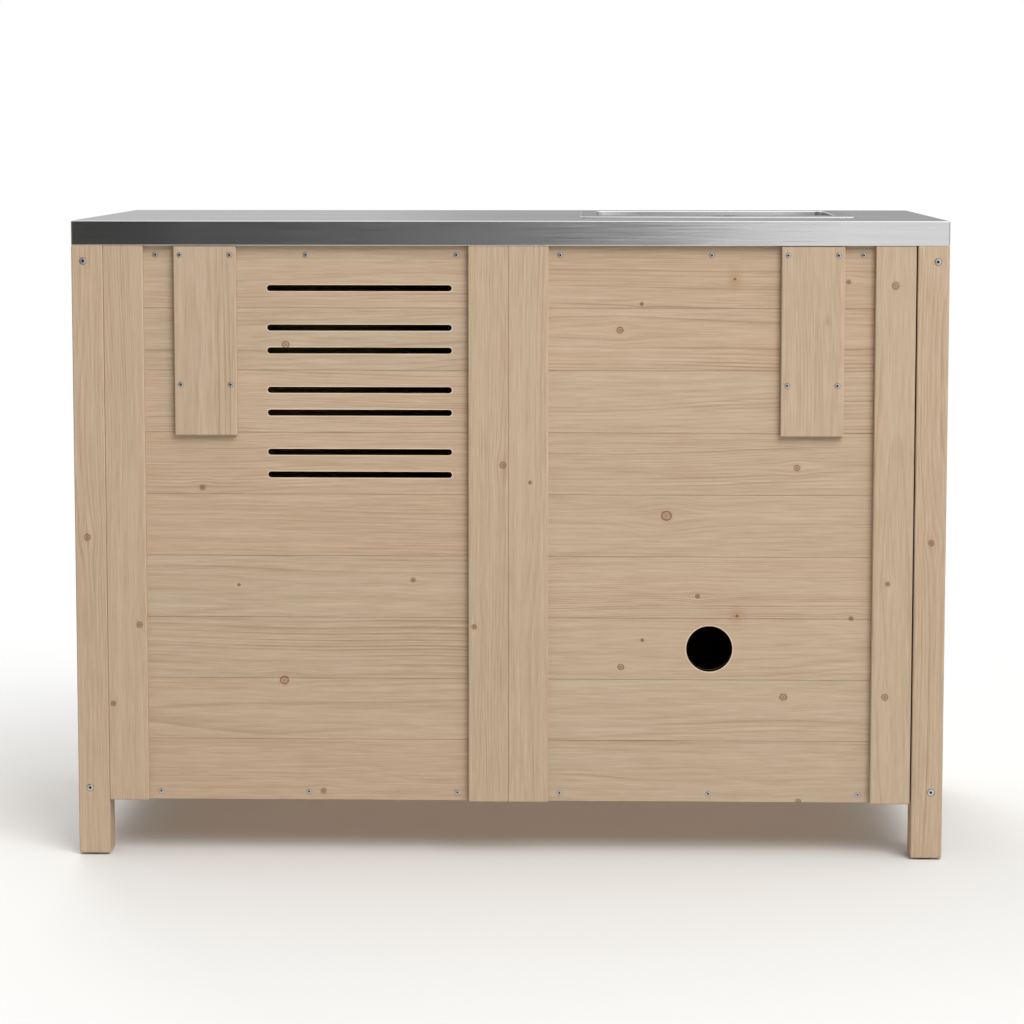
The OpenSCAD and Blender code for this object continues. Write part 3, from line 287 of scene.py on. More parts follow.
def makeGrainGroup(w, k, closeness):
    # Point is in millimetres along the grain, across the face and into the depth; the greater
    # Fine is, the closer and straighter the rings
    group, g, given, out = shaderGroup(
        "spruceGrain",
        [("Point", "NodeSocketVector"), ("Near", "NodeSocketFloat"), ("Core", "NodeSocketFloat"),
         ("Board", "NodeSocketFloat"), ("Fine", "NodeSocketFloat"),
         ("Knotless", "NodeSocketVector")],
        [("Color", "NodeSocketColor"), ("Rough", "NodeSocketFloat"), ("Height", "NodeSocketFloat")])
    chance = g.random(given["Board"], colour=True)
    r1, r2, r3 = g.split(chance)
    along, across, deep = g.split(given["Point"])
    shift = g.math("MULTIPLY_ADD", r1, 7000.0, 100.0)
    s = g.math("ADD", along, shift)
    inBoard = g.join(s, across, deep)

    def pattern(name, place=inBoard, rough=0.5):
        return g.noise(g.vector("MULTIPLY", place, closeness[name]), rough=rough)

    slow = g.noise(g.join(g.math("MULTIPLY", s, 0.0013), g.math("MULTIPLY", across, 0.004),
                          g.math("MULTIPLY", r2, 37.0)), detail=1.0)
    slowDeep = g.noise(g.join(g.math("MULTIPLY", s, 0.0018), g.math("MULTIPLY", r3, 53.0),
                              g.math("MULTIPLY", deep, 0.005)), detail=1.0)
    stray = g.math("DIVIDE", g.between(slow, -w["wander"], w["wander"]), given["Fine"])
    du = g.math("ADD", g.math("SUBTRACT", across, g.between(r2, *w["pithAcross"])), stray)
    dv = g.math("ADD", g.math("SUBTRACT", deep, g.between(r3, *w["pithDeep"])),
                g.between(slowDeep, -w["wanderDeep"], w["wanderDeep"]))
    wave = g.math("DIVIDE", g.math("MULTIPLY", pattern("wave"), w["waviness"]), given["Fine"])
    radius = g.math("ADD", g.math("SQRT", g.squares(du, dv)), wave)
    ring = g.math("DIVIDE", radius, g.between(r1, *w["ringWidth"]))
    uneven = g.noise(g.join(g.math("MULTIPLY", radius, 0.05), r2, r3), detail=0.0)
    ring = g.math("ADD", g.math("MULTIPLY", ring, given["Fine"]),
                  g.math("MULTIPLY", uneven, w["unevenness"]))
    phase = g.math("FRACT", ring)
    ringChance = g.random(g.math("ADD", g.math("FLOOR", ring), g.math("MULTIPLY", r3, 91.0)))
    boardChance = g.random(g.math("ADD", given["Board"], 0.37))
    alongRing = g.math("ABSOLUTE", g.math("DIVIDE", du, radius))
    # late wood darkens towards the end of each year's growth
    late = g.math("POWER", phase, 3.0)
    for share in (g.ramp(phase, *w["lateEnd"], 1.0, 0.0),
                  g.between(g.math("POWER", ringChance, 1.5), *w["ringSpread"]),
                  g.ramp(pattern("patch"), *w["patchSpread"]),
                  g.between(boardChance, *w["boardSpread"]),
                  g.ramp(alongRing, *w["flatSawn"])):
        late = g.math("MULTIPLY", late, share)
    # fibres and pale or warm streaks
    straight = g.join(g.math("ADD", g.split(given["Knotless"])[0], shift), across, deep)
    fibre = pattern("fibre", straight, 0.6)
    strand = pattern("strand", rough=0.6)
    colour = g.mix(g.ramp(pattern("streak"), *w["warmParts"]), w["pale"], w["warm"])
    # each board is a little pinker or greyer, paler or darker than the next
    colour = g.vector("MULTIPLY", colour, g.mixVector(r3, w["castLow"], w["castHigh"]))
    colour = g.mix(g.math("MULTIPLY", late, w["lineStrength"], clamp=True), colour, w["late"])
    mean = w["mean"] - (w["fibres"] + w["strands"]) / 2
    tone = g.math("ADD", g.math("MULTIPLY_ADD", fibre, w["fibres"], mean),
                  g.between(r2, *w["boardTones"]))
    tone = g.math("MULTIPLY_ADD", strand, w["strands"], tone)
    # darker fibres are redder, paler ones greyer
    colour = g.vector("MULTIPLY", colour, g.join(g.math("MULTIPLY_ADD", tone, 0.86, 0.14), tone,
                                                 g.math("MULTIPLY_ADD", tone, 1.30, -0.30)))
    # knots: a faint warm halo, a thin dark rim, and a dark heart
    ragged = g.noise(given["Knotless"], scale=0.45, detail=1.0)
    near = g.math("ADD", given["Near"], g.between(ragged, *k["ragged"]))
    colour = g.mix(g.ramp(near, *k["halo"]), colour, g.vector("MULTIPLY", colour, k["haloTint"]))
    inside = g.ramp(near, *k["insideFrom"])
    close, strong, dark = k["rings"]
    rings = g.math("SINE", g.math("MULTIPLY", near, close))
    rings = g.math("MULTIPLY_ADD", rings, strong, dark)
    heart = g.mix(rings, g.vector("MULTIPLY", colour, k["insideTint"]), k["heart"])
    colour = g.mix(g.math("MULTIPLY", inside, k["inside"]), colour, heart)
    rim = g.math("MULTIPLY", g.ramp(near, *k["rimOutside"]), g.ramp(near, *k["rimInside"]))
    for part, strength in ((rim, k["rimStrength"]), (given["Core"], k["core"])):
        colour = g.mix(g.math("MULTIPLY", part, strength), colour, k["rim"])
    g.give(out["Color"], colour)
    rough = g.math("MULTIPLY_ADD", late, -0.10, w["rough"])
    g.give(out["Rough"], g.math("MULTIPLY_ADD", inside, -0.12, rough))
    height = g.math("ADD", g.math("MULTIPLY", late, 0.8), g.math("MULTIPLY", fibre, 0.45))
    g.give(out["Height"], g.math("MULTIPLY_ADD", inside, 0.5, height))
    return group


def makeCutGroup():
    # how far, in millimetres, the point is outside a round-ended cut; the least of several
    group, g, given, out = shaderGroup(
        "cutDistance",
        [("Point", "NodeSocketVector"), ("Least", "NodeSocketFloat"),
         ("Centre", "NodeSocketVector"), ("Half", "NodeSocketFloat"),
         ("Radius", "NodeSocketFloat")],
        [("Least", "NodeSocketFloat")])
    x, y, z = g.split(g.vector("SUBTRACT", given["Point"], given["Centre"]))
    past = g.math("MAXIMUM", g.math("SUBTRACT", g.math("ABSOLUTE", x), given["Half"]), 0.0)
    reach = g.math("SQRT", g.squares(past, y))
    g.give(out["Least"], g.math("MINIMUM", g.math("SUBTRACT", reach, given["Radius"]),
                                given["Least"]))
    return group


knotGroup = makeKnotGroup(knotLook)
grainGroup = makeGrainGroup(spruce, knotLook, patterns)
cutGroup = makeCutGroup()
farAway = 100.0      # stands for no knot and no cut near


def spruceMaterial(name, axes, seed, middle, fine, knots=(), stains=(), lamella=None, cuts=(),
                   faces=None):
    # all in metres. axes: which of X, Y, Z run along the grain, across the face and into the
    # depth; middle: the board's centre across and into the depth; knots: (along, across,
    # radius); stains of resin: (along, across, half length, half width); lamella: (first edge,
    # width) across; cuts: (along, across, half straight length, radius); faces: the board's
    # depth, from and to
    mat, g, shader = newMaterial(name, **{"Specular IOR Level": 0.25})
    place = g.split(g.add("ShaderNodeTexCoord").outputs["Object"])
    along, across, deep = [g.math("MULTIPLY", place["XYZ".index(a)], 1000.0) for a in axes]
    point = raw = g.join(along, across, deep)
    near, core = farAway, 0.0
    for a, c, r in knots:
        knot = g.group(knotGroup, {"Point": point, "Near": near, "Core": core,
                                   "Centre": (a * 1000, c * 1000, 0), "Radius": r * 1000})
        point, near, core = knot["Point"], knot["Near"], knot["Core"]
    board, centre = float(seed), middle[0] * 1000
    if lamella:
        low, pitch = lamella[0] * 1000, lamella[1] * 1000
        fromFirst = g.math("SUBTRACT", across, low)
        count = g.math("FLOOR", g.math("DIVIDE", fromFirst, pitch))
        board = g.math("ADD", count, board)
        centre = g.math("MULTIPLY_ADD", count, pitch, low + pitch / 2)
    local = g.vector("SUBTRACT", point, g.join(0.0, centre, middle[1] * 1000))
    grain = g.group(grainGroup, {"Point": local, "Near": near, "Core": core, "Board": board,
                                 "Fine": fine, "Knotless": raw})
    # painted shade: the wood is drawn darker towards the foot of the cabinet and paler towards the
    # top
    colour = g.vector("SCALE", grain["Color"], g.ramp(place[2], *spruce["shadeHeights"],
                                                      *spruce["shadeTones"]))
    if lamella:
        joint = g.math("PINGPONG", fromFirst, pitch / 2)
        colour = g.vector("SCALE", colour, g.ramp(joint, *spruce["joint"]))
    for a, c, halfAlong, halfAcross in stains:
        u = g.math("DIVIDE", g.math("SUBTRACT", along, a * 1000), halfAlong * 1000)
        v = g.math("DIVIDE", g.math("SUBTRACT", across, c * 1000), halfAcross * 1000)
        colour = g.mix(g.bell(u, v), colour, g.vector("MULTIPLY", colour, spruce["stain"]))
    if cuts:
        least = farAway
        for a, c, half, r in cuts:
            least = g.group(cutGroup, {"Point": raw, "Least": least, "Half": half * 1000,
                                       "Centre": (a * 1000, c * 1000, 0),
                                       "Radius": r * 1000})["Least"]
        # painted highlight: the rims of the cuts are drawn paler
        rim = g.between(g.ramp(least, *spruce["cutRimLightWidth"]), 1.0, spruce["cutRimLight"])
        colour = g.vector("SCALE", colour, rim)
        # painted shade: the walls of a cut are drawn nearly black, from a little below one face to
        # a little below the other
        wall = g.math("LESS_THAN", least, 0.3)
        low, high = [f * 1000 for f in faces]
        inset, soft = spruce["cutShadeInset"], 0.15
        within = g.math("MULTIPLY", g.ramp(deep, low + inset - soft, low + inset + soft),
                        g.ramp(deep, high - inset + soft, high - inset - soft))
        colour = g.mix(g.math("MULTIPLY", wall, within), colour, spruce["cutShade"])
    g.give(shader.inputs["Base Color"], colour)
    g.give(shader.inputs["Roughness"], grain["Rough"])
    g.bump(shader, grain["Height"], 0.6, spruce["relief"])
    return mat


# the boards: knots and stains on the back are placed as photographed, others at random
backKnots = {
    "rear_panel_vented": [
        (0.3073, 0.7136, 0.0060), (0.4241, 0.5155, 0.0045), (0.3746, 0.3799, 0.0026),
        (0.1328, 0.3876, 0.0038), (0.3125, 0.2465, 0.0072), (0.2589, 0.0902, 0.0048)],
    "rear_panel_drain": [
        (-0.1815, 0.7702, 0.0031), (-0.1520, 0.7343, 0.0055), (-0.4637, 0.8007, 0.0038),
        (-0.3958, 0.5451, 0.0052), (-0.2169, 0.4783, 0.0084), (-0.2605, 0.3666, 0.0038),
        (-0.4721, 0.3363, 0.0038), (-0.1843, 0.3048, 0.0028), (-0.1548, 0.2671, 0.0052),
        (-0.3797, 0.2258, 0.0059), (-0.4016, 0.0790, 0.0045), (-0.3150, 0.3392, 0.0020),
        (-0.3088, 0.8046, 0.0018)],
    "post_rear_right": [(0.4470, 0.5830, 0.0055)],
    "rear_stile_right_outer": [(0.3250, 0.5120, 0.0050), (0.2140, 0.5500, 0.0045)],
    "rear_stile_right_inner": [(0.5490, 0.0080, 0.0055), (0.3240, 0.0480, 0.0045)],
    "rear_stile_left_inner": [(0.5250, -0.0290, 0.0032)],
    "rear_stile_left_outer": [
        (0.7960, -0.5270, 0.0060), (0.3860, -0.5210, 0.0040), (0.2280, -0.5190, 0.0055)],
    "post_rear_left": [(0.4430, -0.5800, 0.0050)],
    "cleat_left": [],
    "cleat_right": [],
}
backStains = {
    "rear_panel_drain": [(-0.3088, 0.8046, 0.009, 0.013), (-0.3150, 0.3392, 0.010, 0.012)],
    "cleat_left": [(0.7480, -0.4350, 0.008, 0.003)],
}
ventZ = (0.79141, 0.73703, 0.70563, 0.65126, 0.61986, 0.56548, 0.53408)
panelCuts = {
    "rear_panel_vented": [(0.2056, z, 0.12275, 0.00425) for z in ventZ],
    "rear_panel_drain": [(-0.277, 0.293, 0.0, 0.032)],
}

# boards sawn from the log, and panels glued from lamellas: "knots" is how many are scattered
# where none are given, and "margin" is how far they stay from the sides, in metres
solidWood = {"seedStep": 7, "knots": 2, "margin": 0.012, "fine": 1.6}
gluedPanel = {"seedStep": 23, "knots": 8, "margin": 0.030, "fine": 1.0, "width": 0.0857778,
              "first": 0.078, "firstOfFloor": -0.230}
knotSizes = (0.003, 0.0075)
knotsFromEnds = 0.03

panelAxes = {
    "rear_panel_drain": "XZY", "rear_panel_vented": "XZY", "door_left_panel": "XZY",
    "door_right_panel": "XZY", "side_panel_left": "YZX", "side_panel_right": "YZX",
    "centre_partition": "YZX", "floor_board": "XYZ",
}
woodAxes = {"worktop_core": "XYZ", "cleat_left": "ZXY", "cleat_right": "ZXY",
            "front_mullion": "ZXY"}
for name in nodes:
    if "stile" in name or name.startswith("post_") and name != "post_screws":
        woodAxes[name] = "ZXY"
    elif name.startswith("side_rail"):
        woodAxes[name] = "YZX"
    elif name.startswith(("rear_rail", "front_rail")):
        woodAxes[name] = "XZY"


def scatterKnots(kind, seed, alongRange, acrossRange):
    draw = random.Random(seed)
    return [(draw.uniform(alongRange[0] + knotsFromEnds, alongRange[1] - knotsFromEnds),
             draw.uniform(acrossRange[0] + kind["margin"], acrossRange[1] - kind["margin"]),
             draw.uniform(*knotSizes)) for i in range(kind["knots"])]


def dressTimber():
    seed = 3
    for kind, axesOf in ((solidWood, woodAxes), (gluedPanel, panelAxes)):
        for name, axes in sorted(axesOf.items()):
            seed += kind["seedStep"]
            low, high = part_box(name)
            # the board's extent along the grain, across the face and into the depth
            spans = [(low["XYZ".index(a)], high["XYZ".index(a)]) for a in axes]
            middle = [(span[0] + span[1]) / 2 for span in spans[1:]]
            knots = backKnots.get(name)
            if knots is None:
                knots = scatterKnots(kind, seed, *spans[:2])
            lamella = None
            if kind is gluedPanel:
                first = kind["firstOfFloor" if name == "floor_board" else "first"]
                lamella = (first, kind["width"])
            dress(name, spruceMaterial("spruce_" + name, axes, seed, middle, kind["fine"], knots,
                                       backStains.get(name, ()), lamella,
                                       panelCuts.get(name, ()), spans[2]))


dressTimber()
print("timber dressed:", len(woodAxes) + len(panelAxes), "boards")


steelSheet = {
    "colour": rgb(0.60, 0.60, 0.60),
    "foldHighlight": rgb(0.86, 0.86, 0.86),      # painted highlight on the folds
    "rough": (0.195, 0.245),
    "smudges": (-0.02, 0.02),           # what finger marks add to it
    "stretch": 0.72,                    # of the highlights, across the brushing
    "lines": (0.80, 1.10),              # tones of the brush lines, and what streaks add to them
    "streaks": 0.10,
    "sway": (-0.0225, 0.0225),          # how uneven the reflections are
    "relief": 0.000014,                 # metres
    # how close brush lines are, per metre: along, across, and down where the ends are folded
    "closeness": (5.0, 1400.0, 8.0),
}


def highlightedFolds(g, tilt):
    # where the painted highlight goes: 1 where the surface faces neither up nor sideways
    return g.math("MULTIPLY", g.ramp(tilt, 0.12, 0.45), g.ramp(tilt, 0.995, 0.93))


def brushedMaterial(name, w):
    # sheet brushed along X, and along Z where it is folded down at the ends
    mat, g, shader = newMaterial(name, **{"Base Color": w["colour"], "Metallic": 1.0,
                                          "Anisotropic": w["stretch"]})
    place = g.add("ShaderNodeTexCoord").outputs["Object"]
    normal = g.add("ShaderNodeNewGeometry").outputs["Normal"]
    end = g.math("GREATER_THAN", g.math("ABSOLUTE", g.split(normal)[0]), 0.75)
    along, across, down = w["closeness"]
    point = g.vector("MULTIPLY", place, g.mixVector(end, (along, across, across),
                                                    (along, across, down)))
    fine = g.noise(point, rough=0.7)
    coarse = g.noise(g.vector("MULTIPLY", point, (0.6, 0.12, 0.12)))
    middle = g.noise(g.vector("MULTIPLY", point, (1.6, 0.3, 0.3)), rough=0.6)
    brushing = g.math("ADD", g.math("MULTIPLY", fine, 0.6), g.math("MULTIPLY", coarse, 0.4))
    smudge = g.between(g.noise(place, scale=6.0), *w["smudges"])
    rough = g.math("ADD", g.between(brushing, *w["rough"]), smudge)
    g.give(shader.inputs["Roughness"], rough)
    tint = g.math("MULTIPLY_ADD", middle, w["streaks"], g.between(brushing, *w["lines"]))
    tilt = g.math("ABSOLUTE", g.split(normal)[2])
    # painted highlight: the folds are drawn paler
    colour = g.mix(highlightedFolds(g, tilt), w["colour"], w["foldHighlight"])
    g.give(shader.inputs["Base Color"], g.vector("SCALE", colour, tint))
    # highlights stretch across X; the small addition keeps the ends, which face X, defined
    tangent = g.vector("ADD", g.vector("CROSS_PRODUCT", normal, (1.0, 0.0, 0.0)),
                       (0.0, 0.02, 0.0))
    g.give(shader.inputs["Tangent"], g.vector("NORMALIZE", tangent))
    sway = g.join(g.between(middle, *w["sway"]), 0.0, 0.0)
    swayed = g.vector("NORMALIZE", g.vector("ADD", normal, sway))
    g.bump(shader, fine, 0.5, w["relief"], Normal=swayed)
    return mat


def satinMaterial(name, colour, rough, spread=0.05, metallic=1.0, relief=0.00002, scale=300.0,
                  highlightAbove=None):
    # the last argument: height above which folds get a painted highlight, in metres
    mat, g, shader = newMaterial(name, **{"Metallic": metallic})
    place = g.add("ShaderNodeTexCoord").outputs["Object"]
    fine = g.noise(place, scale=scale)
    both = g.math("ADD", g.math("MULTIPLY", fine, 0.5),
                  g.math("MULTIPLY", g.noise(place, scale=14.0), 0.5))
    g.give(shader.inputs["Roughness"], g.between(both, rough - spread, rough + spread))
    tint = g.between(both, 0.93, 1.07)
    if highlightAbove:
        # painted highlight on the folds high up on the sheet
        foldHighlight = highlightedFolds(g, g.split(g.add("ShaderNodeNewGeometry").outputs["Normal"])[2])
        high = g.math("GREATER_THAN", g.split(place)[2], highlightAbove)
        tint = g.math("MULTIPLY_ADD", g.math("MULTIPLY", foldHighlight, high), 0.50, tint)
    g.give(shader.inputs["Base Color"], g.vector("SCALE", colour[:3], tint))
    g.bump(shader, fine, 0.4, relief)
    return mat


worktopSteel = brushedMaterial("brushedWorktopSteel", steelSheet)
# the bowl's flange gets a painted highlight on its folds
bowlSteel = satinMaterial("pressedBowlSteel", rgb(0.62, 0.625, 0.63), 0.20, scale=900.0,
                          relief=0.000007, highlightAbove=0.8835)
fittingSteel = satinMaterial("satinFittings", rgb(0.56, 0.56, 0.57), 0.30)
screwSteel = satinMaterial("zincScrews", rgb(0.68, 0.69, 0.71), 0.40, scale=1200.0)
polishedSteel = satinMaterial("polishedWaste", rgb(0.68, 0.68, 0.69), 0.14)
drainPlastic = satinMaterial("whiteDrainPlastic", rgb(0.78, 0.78, 0.75), 0.42, metallic=0.0,
                             relief=0.00006)
darkPlastic = satinMaterial("darkMouldedPlastic", rgb(0.03, 0.03, 0.03), 0.50, metallic=0.0,
                            relief=0.00006)
sealRubber = satinMaterial("blackSealRubber", rgb(0.018, 0.018, 0.018), 0.75, metallic=0.0,
                           relief=0.0001)

finishes = {
    "sink_bowl": bowlSteel, "sink_clips": fittingSteel,
    "strainer_body": polishedSteel, "strainer_basket": polishedSteel,
    "overflow_grille": polishedSteel, "door_left_handle": fittingSteel,
    "door_right_handle": fittingSteel, "hinge_post_leaves": fittingSteel,
    "hinge_leaves_left": fittingSteel, "hinge_leaves_right": fittingSteel,
    "hinge_pins": fittingSteel, "strike_plate_left": fittingSteel,
    "strike_plate_right": fittingSteel, "panel_screws": screwSteel, "cleat_screws": screwSteel,
    "post_screws": screwSteel, "strainer_nut": drainPlastic, "overflow_pipe": drainPlastic,
    "trap_tail_pipe": drainPlastic, "trap_bottle": drainPlastic, "trap_cup": drainPlastic,
    "trap_outlet_pipe": drainPlastic, "trap_nuts": drainPlastic, "foot_glides": darkPlastic,
    "magnet_catches": darkPlastic, "sink_seal": sealRubber, "strainer_washer": sealRubber,
}
for name, mat in finishes.items():
    dress(name, mat)
print("fittings dressed:", len(finishes))


sink = {
    "middle": (-0.290, -0.019),          # of the flange
    "flange": (0.388, 0.352, 0.008),     # width, depth, corner radius
    "bowlBack": -0.0265,                 # from the flange's middle to the bowl's middle
    "bowl": (0.342, 0.255, 0.012),
    "top": 0.886,                        # heights of the flange and of its lower edge
    "lip": 0.8841,
    "edge": 0.0014,                      # radius of the flange's edge
    "hold": 0.003,                       # where its flat top begins
    "roll": 0.002,                       # radius from the flange into the bowl
    "wallLow": 0.757,                    # where the wall turns into the floor
    "lean": 0.005,
    "tightest": 0.002,                   # the least radius of a corner
    "floorRadius": 0.028,
    "floorSteps": (0.15, 0.45, 0.75),    # on the way from the walls to the waste's round seat:
    "seat": ((0.062, 0.726), (0.058, 0.726), (0.0568, 0.7254), (0.056, 0.7235),
             (0.055, 0.723), (0.0435, 0.723)),       # radius and height, inwards
    "sheet": 0.0009,
    "tapHole": (-0.301, 0.119, 0.0175),  # x, y, radius
    "overflow": (-0.375, 0.840, 0.0095), # x, z, radius
    "smooth": 32,                        # degrees, the sharpest angle that is shaded smooth
}


def quarterTurn(count, first=0):
    # sine and cosine on the way from 0 to 90 degrees in so many equal steps
    return [(math.sin(math.radians(90 * k / count)), math.cos(math.radians(90 * k / count)))
            for k in range(first, count + 1)]


def roundOutline(halfW, halfD, r, z, y=0.0, steps=12, side=6):
    # a rectangle with round corners: steps on each corner, parts on each side
    points = []
    for corner in range(4):
        sx = 1 if corner in (0, 3) else -1
        sy = 1 if corner < 2 else -1
        for i in range(steps + 1):
            a = math.radians(90 * (corner + i / steps))
            points.append(Vector((sx * (halfW - r) + r * math.cos(a),
                                  sy * (halfD - r) + r * math.sin(a) + y, z)))
    full = []
    for i, p in enumerate(points):
        full.append(p)
        if i % (steps + 1) == steps:      # a straight side follows
            q = points[(i + 1) % len(points)]
            full += [p.lerp(q, k / side) for k in range(1, side)]
    return full


def circleLike(line, radius, z, y):
    # a circle with a point in the direction of each point of the outline it continues
    ways = [math.atan2(p.y - y, p.x) for p in line]
    return [Vector((radius * math.cos(a), radius * math.sin(a) + y, z)) for a in ways]


def loft(bm, outlines):
    rows = [[bm.verts.new(p) for p in line] for line in outlines]
    n = len(rows[0])
    for a, b in zip(rows, rows[1:]):
        for j in range(n):
            bm.faces.new((a[j], a[(j + 1) % n], b[(j + 1) % n], b[j]))
    return rows


def meshObject(name, bm, mats):
    mesh = bpy.data.meshes.new(name)
    bm.to_mesh(mesh)
    bm.free()
    obj = bpy.data.objects.new(name, mesh)
    scene.collection.objects.link(obj)
    for mat in mats:
        mesh.materials.append(mat)
    return obj


def faceUp(bm, face):
    # all faces point the same way, and the given one up
    bmesh.ops.recalc_face_normals(bm, faces=bm.faces)
    if face.normal.z < 0:
        bmesh.ops.reverse_faces(bm, faces=bm.faces)


def applyModifiers(obj):
    # the evaluated mesh takes the place of the object's own
    graph = bpy.context.evaluated_depsgraph_get()
    done = bpy.data.meshes.new_from_object(obj.evaluated_get(graph))
    obj.modifiers.clear()
    old = obj.data
    obj.data = done
    bpy.data.meshes.remove(old)


def thicken(obj, sheet):
    # the sheet's thickness lies below the skin
    thick = obj.modifiers.new("sheet", "SOLIDIFY")
    thick.thickness = sheet
    thick.offset = -1
    applyModifiers(obj)


def smoothByAngle(obj, degrees):
    mesh = obj.data
    mesh.shade_smooth()
    mesh.set_sharp_from_angle(angle=math.radians(degrees))


def drill(obj, centre, axis, radius, length):
    # cuts a round hole with a cylinder
    bm = bmesh.new()
    bmesh.ops.create_cone(bm, cap_ends=True, segments=64, radius1=radius, radius2=radius,
                          depth=length)
    turn = Vector((0, 0, 1)).rotation_difference(Vector(axis)).to_matrix().to_4x4()
    turn.translation = Vector(centre)
    bm.transform(turn)
    cutter = meshObject("cutter", bm, [])
    cut = obj.modifiers.new("hole", "BOOLEAN")
    cut.operation = "DIFFERENCE"
    cut.solver = "EXACT"
    cut.object = cutter
    applyModifiers(obj)
    bpy.data.objects.remove(cutter)


def makeSink(s):
    w, d, r = s["flange"]
    bw, bd, br = s["bowl"]
    yb, top, roll, e, fr = s["bowlBack"], s["top"], s["roll"], s["edge"], s["floorRadius"]
    ease = min(0.4, (br - s["tightest"]) / (s["lean"] + fr))

    def flangeLine(a, z):
        return roundOutline(w / 2 - a, d / 2 - a, r - a, z)

    def bowlLine(a, z):
        # drawn in by a; the corners tighten less than the sides move
        return roundOutline(bw / 2 - a, bd / 2 - a, br - (ease if a > 0 else 1.0) * a, z, yb)

    lines = [flangeLine(0.0, s["lip"]), flangeLine(0.0, top - e)]
    lines += [flangeLine(e - e * c, top - e + e * n) for n, c in quarterTurn(4, 1)]
    lines.append(flangeLine(s["hold"], top))
    lines += [bowlLine(-roll + roll * n, top - roll + roll * c) for n, c in quarterTurn(8)]
    wall = top - roll - s["wallLow"]
    lines += [bowlLine(s["lean"] * k / 8, top - roll - wall * k / 8) for k in range(1, 8)]
    lines += [bowlLine(s["lean"] + fr - fr * c, s["wallLow"] - fr * n)
              for n, c in quarterTurn(9)]
    last = lines[-1]
    seat = [circleLike(last, radius, z, yb) for radius, z in s["seat"]]
    lines += [[p.lerp(q, k) for p, q in zip(last, seat[0])] for k in s["floorSteps"]]
    lines += seat
    bm = bmesh.new()
    loft(bm, lines)
    bmesh.ops.translate(bm, verts=bm.verts, vec=(*s["middle"], 0))
    faceUp(bm, max(bm.faces, key=lambda f: f.calc_center_median().z))
    obj = meshObject("sinkBowlPressed", bm, [bowlSteel])
    thicken(obj, s["sheet"])
    x, y, radius = s["tapHole"]
    drill(obj, (x, y, top), (0, 0, 1), radius, length=0.01)
    x, z, radius = s["overflow"]
    drill(obj, (x, s["middle"][1] + yb + bd / 2, z), (0, 1, 0), radius, length=0.03)
    smoothByAngle(obj, s["smooth"])
    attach(obj, "cabinet")
    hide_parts("sink_bowl")


makeSink(sink)
print("sink pressed")

worktop = {
    "size": (1.2, 0.6),
    "low": 0.850,
    "high": 0.884,
    "fold": 0.0018,          # radius of the upper folds
    "hem": 0.0012,           # radius of the lower ones
    "hold": 0.0012,          # a flat strip beside each of them
    "corner": 0.0021,
    "sharpest": 0.00003,     # least radius where the corner is drawn in
    "return": 0.015,         # how far the sheet goes under
    "sheet": 0.001,
    "cutOut": (0.364, 0.328, 0.012),
    "smooth": 28,
}


def makeWorktop(w):
    # one sheet: under the edge, round the hem, up the face, over the fold and in to the cut-out
    halfW, halfD = w["size"][0] / 2, w["size"][1] / 2
    low, high, hem, fold, hold = w["low"], w["high"], w["hem"], w["fold"], w["hold"]
    profile = [(w["return"], low), (hem + hold, low)]
    profile += [(hem - hem * n, low + hem - hem * c) for n, c in quarterTurn(4)]
    profile += [(0.0, low + hem + hold), (0.0, high - fold - hold)]
    profile += [(fold - fold * c, high - fold + fold * n) for n, c in quarterTurn(5)]
    profile.append((fold + hold, high))
    parts = {"steps": 5, "side": 8}
    lines = [roundOutline(halfW - a, halfD - a, max(w["corner"] - a, w["sharpest"]), z, **parts)
             for a, z in profile]
    cutW, cutD, cutR = w["cutOut"]
    inner = roundOutline(cutW / 2, cutD / 2, cutR, high, **parts)
    lines.append([p + Vector((*sink["middle"], 0)) for p in inner])
    bm = bmesh.new()
    loft(bm, lines)
    faceUp(bm, max(bm.faces, key=lambda f: f.calc_area()))
    obj = meshObject("worktopFolded", bm, [worktopSteel])
    thicken(obj, w["sheet"])
    smoothByAngle(obj, w["smooth"])
    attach(obj, "cabinet")
    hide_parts("worktop_skin")


makeWorktop(worktop)
print("worktop folded")


# rim: width of the ring of painted shade round a head
screws = {
    "panel": {"head": 0.0033, "recess": 0.0015, "rim": 0.0007, "seed": 4},
    "post": {"head": 0.0045, "recess": 0.0019, "rim": 0.0009, "seed": 9},
    "hinge": {"head": 0.0026, "recess": 0.0011, "rim": 0.0, "seed": 2},
}
# painted shade: dark brown, on the ring round each head and in its recess
screwShade = satinMaterial("paintedScrewShade", rgb(0.060, 0.038, 0.024), 0.80, metallic=0.0)


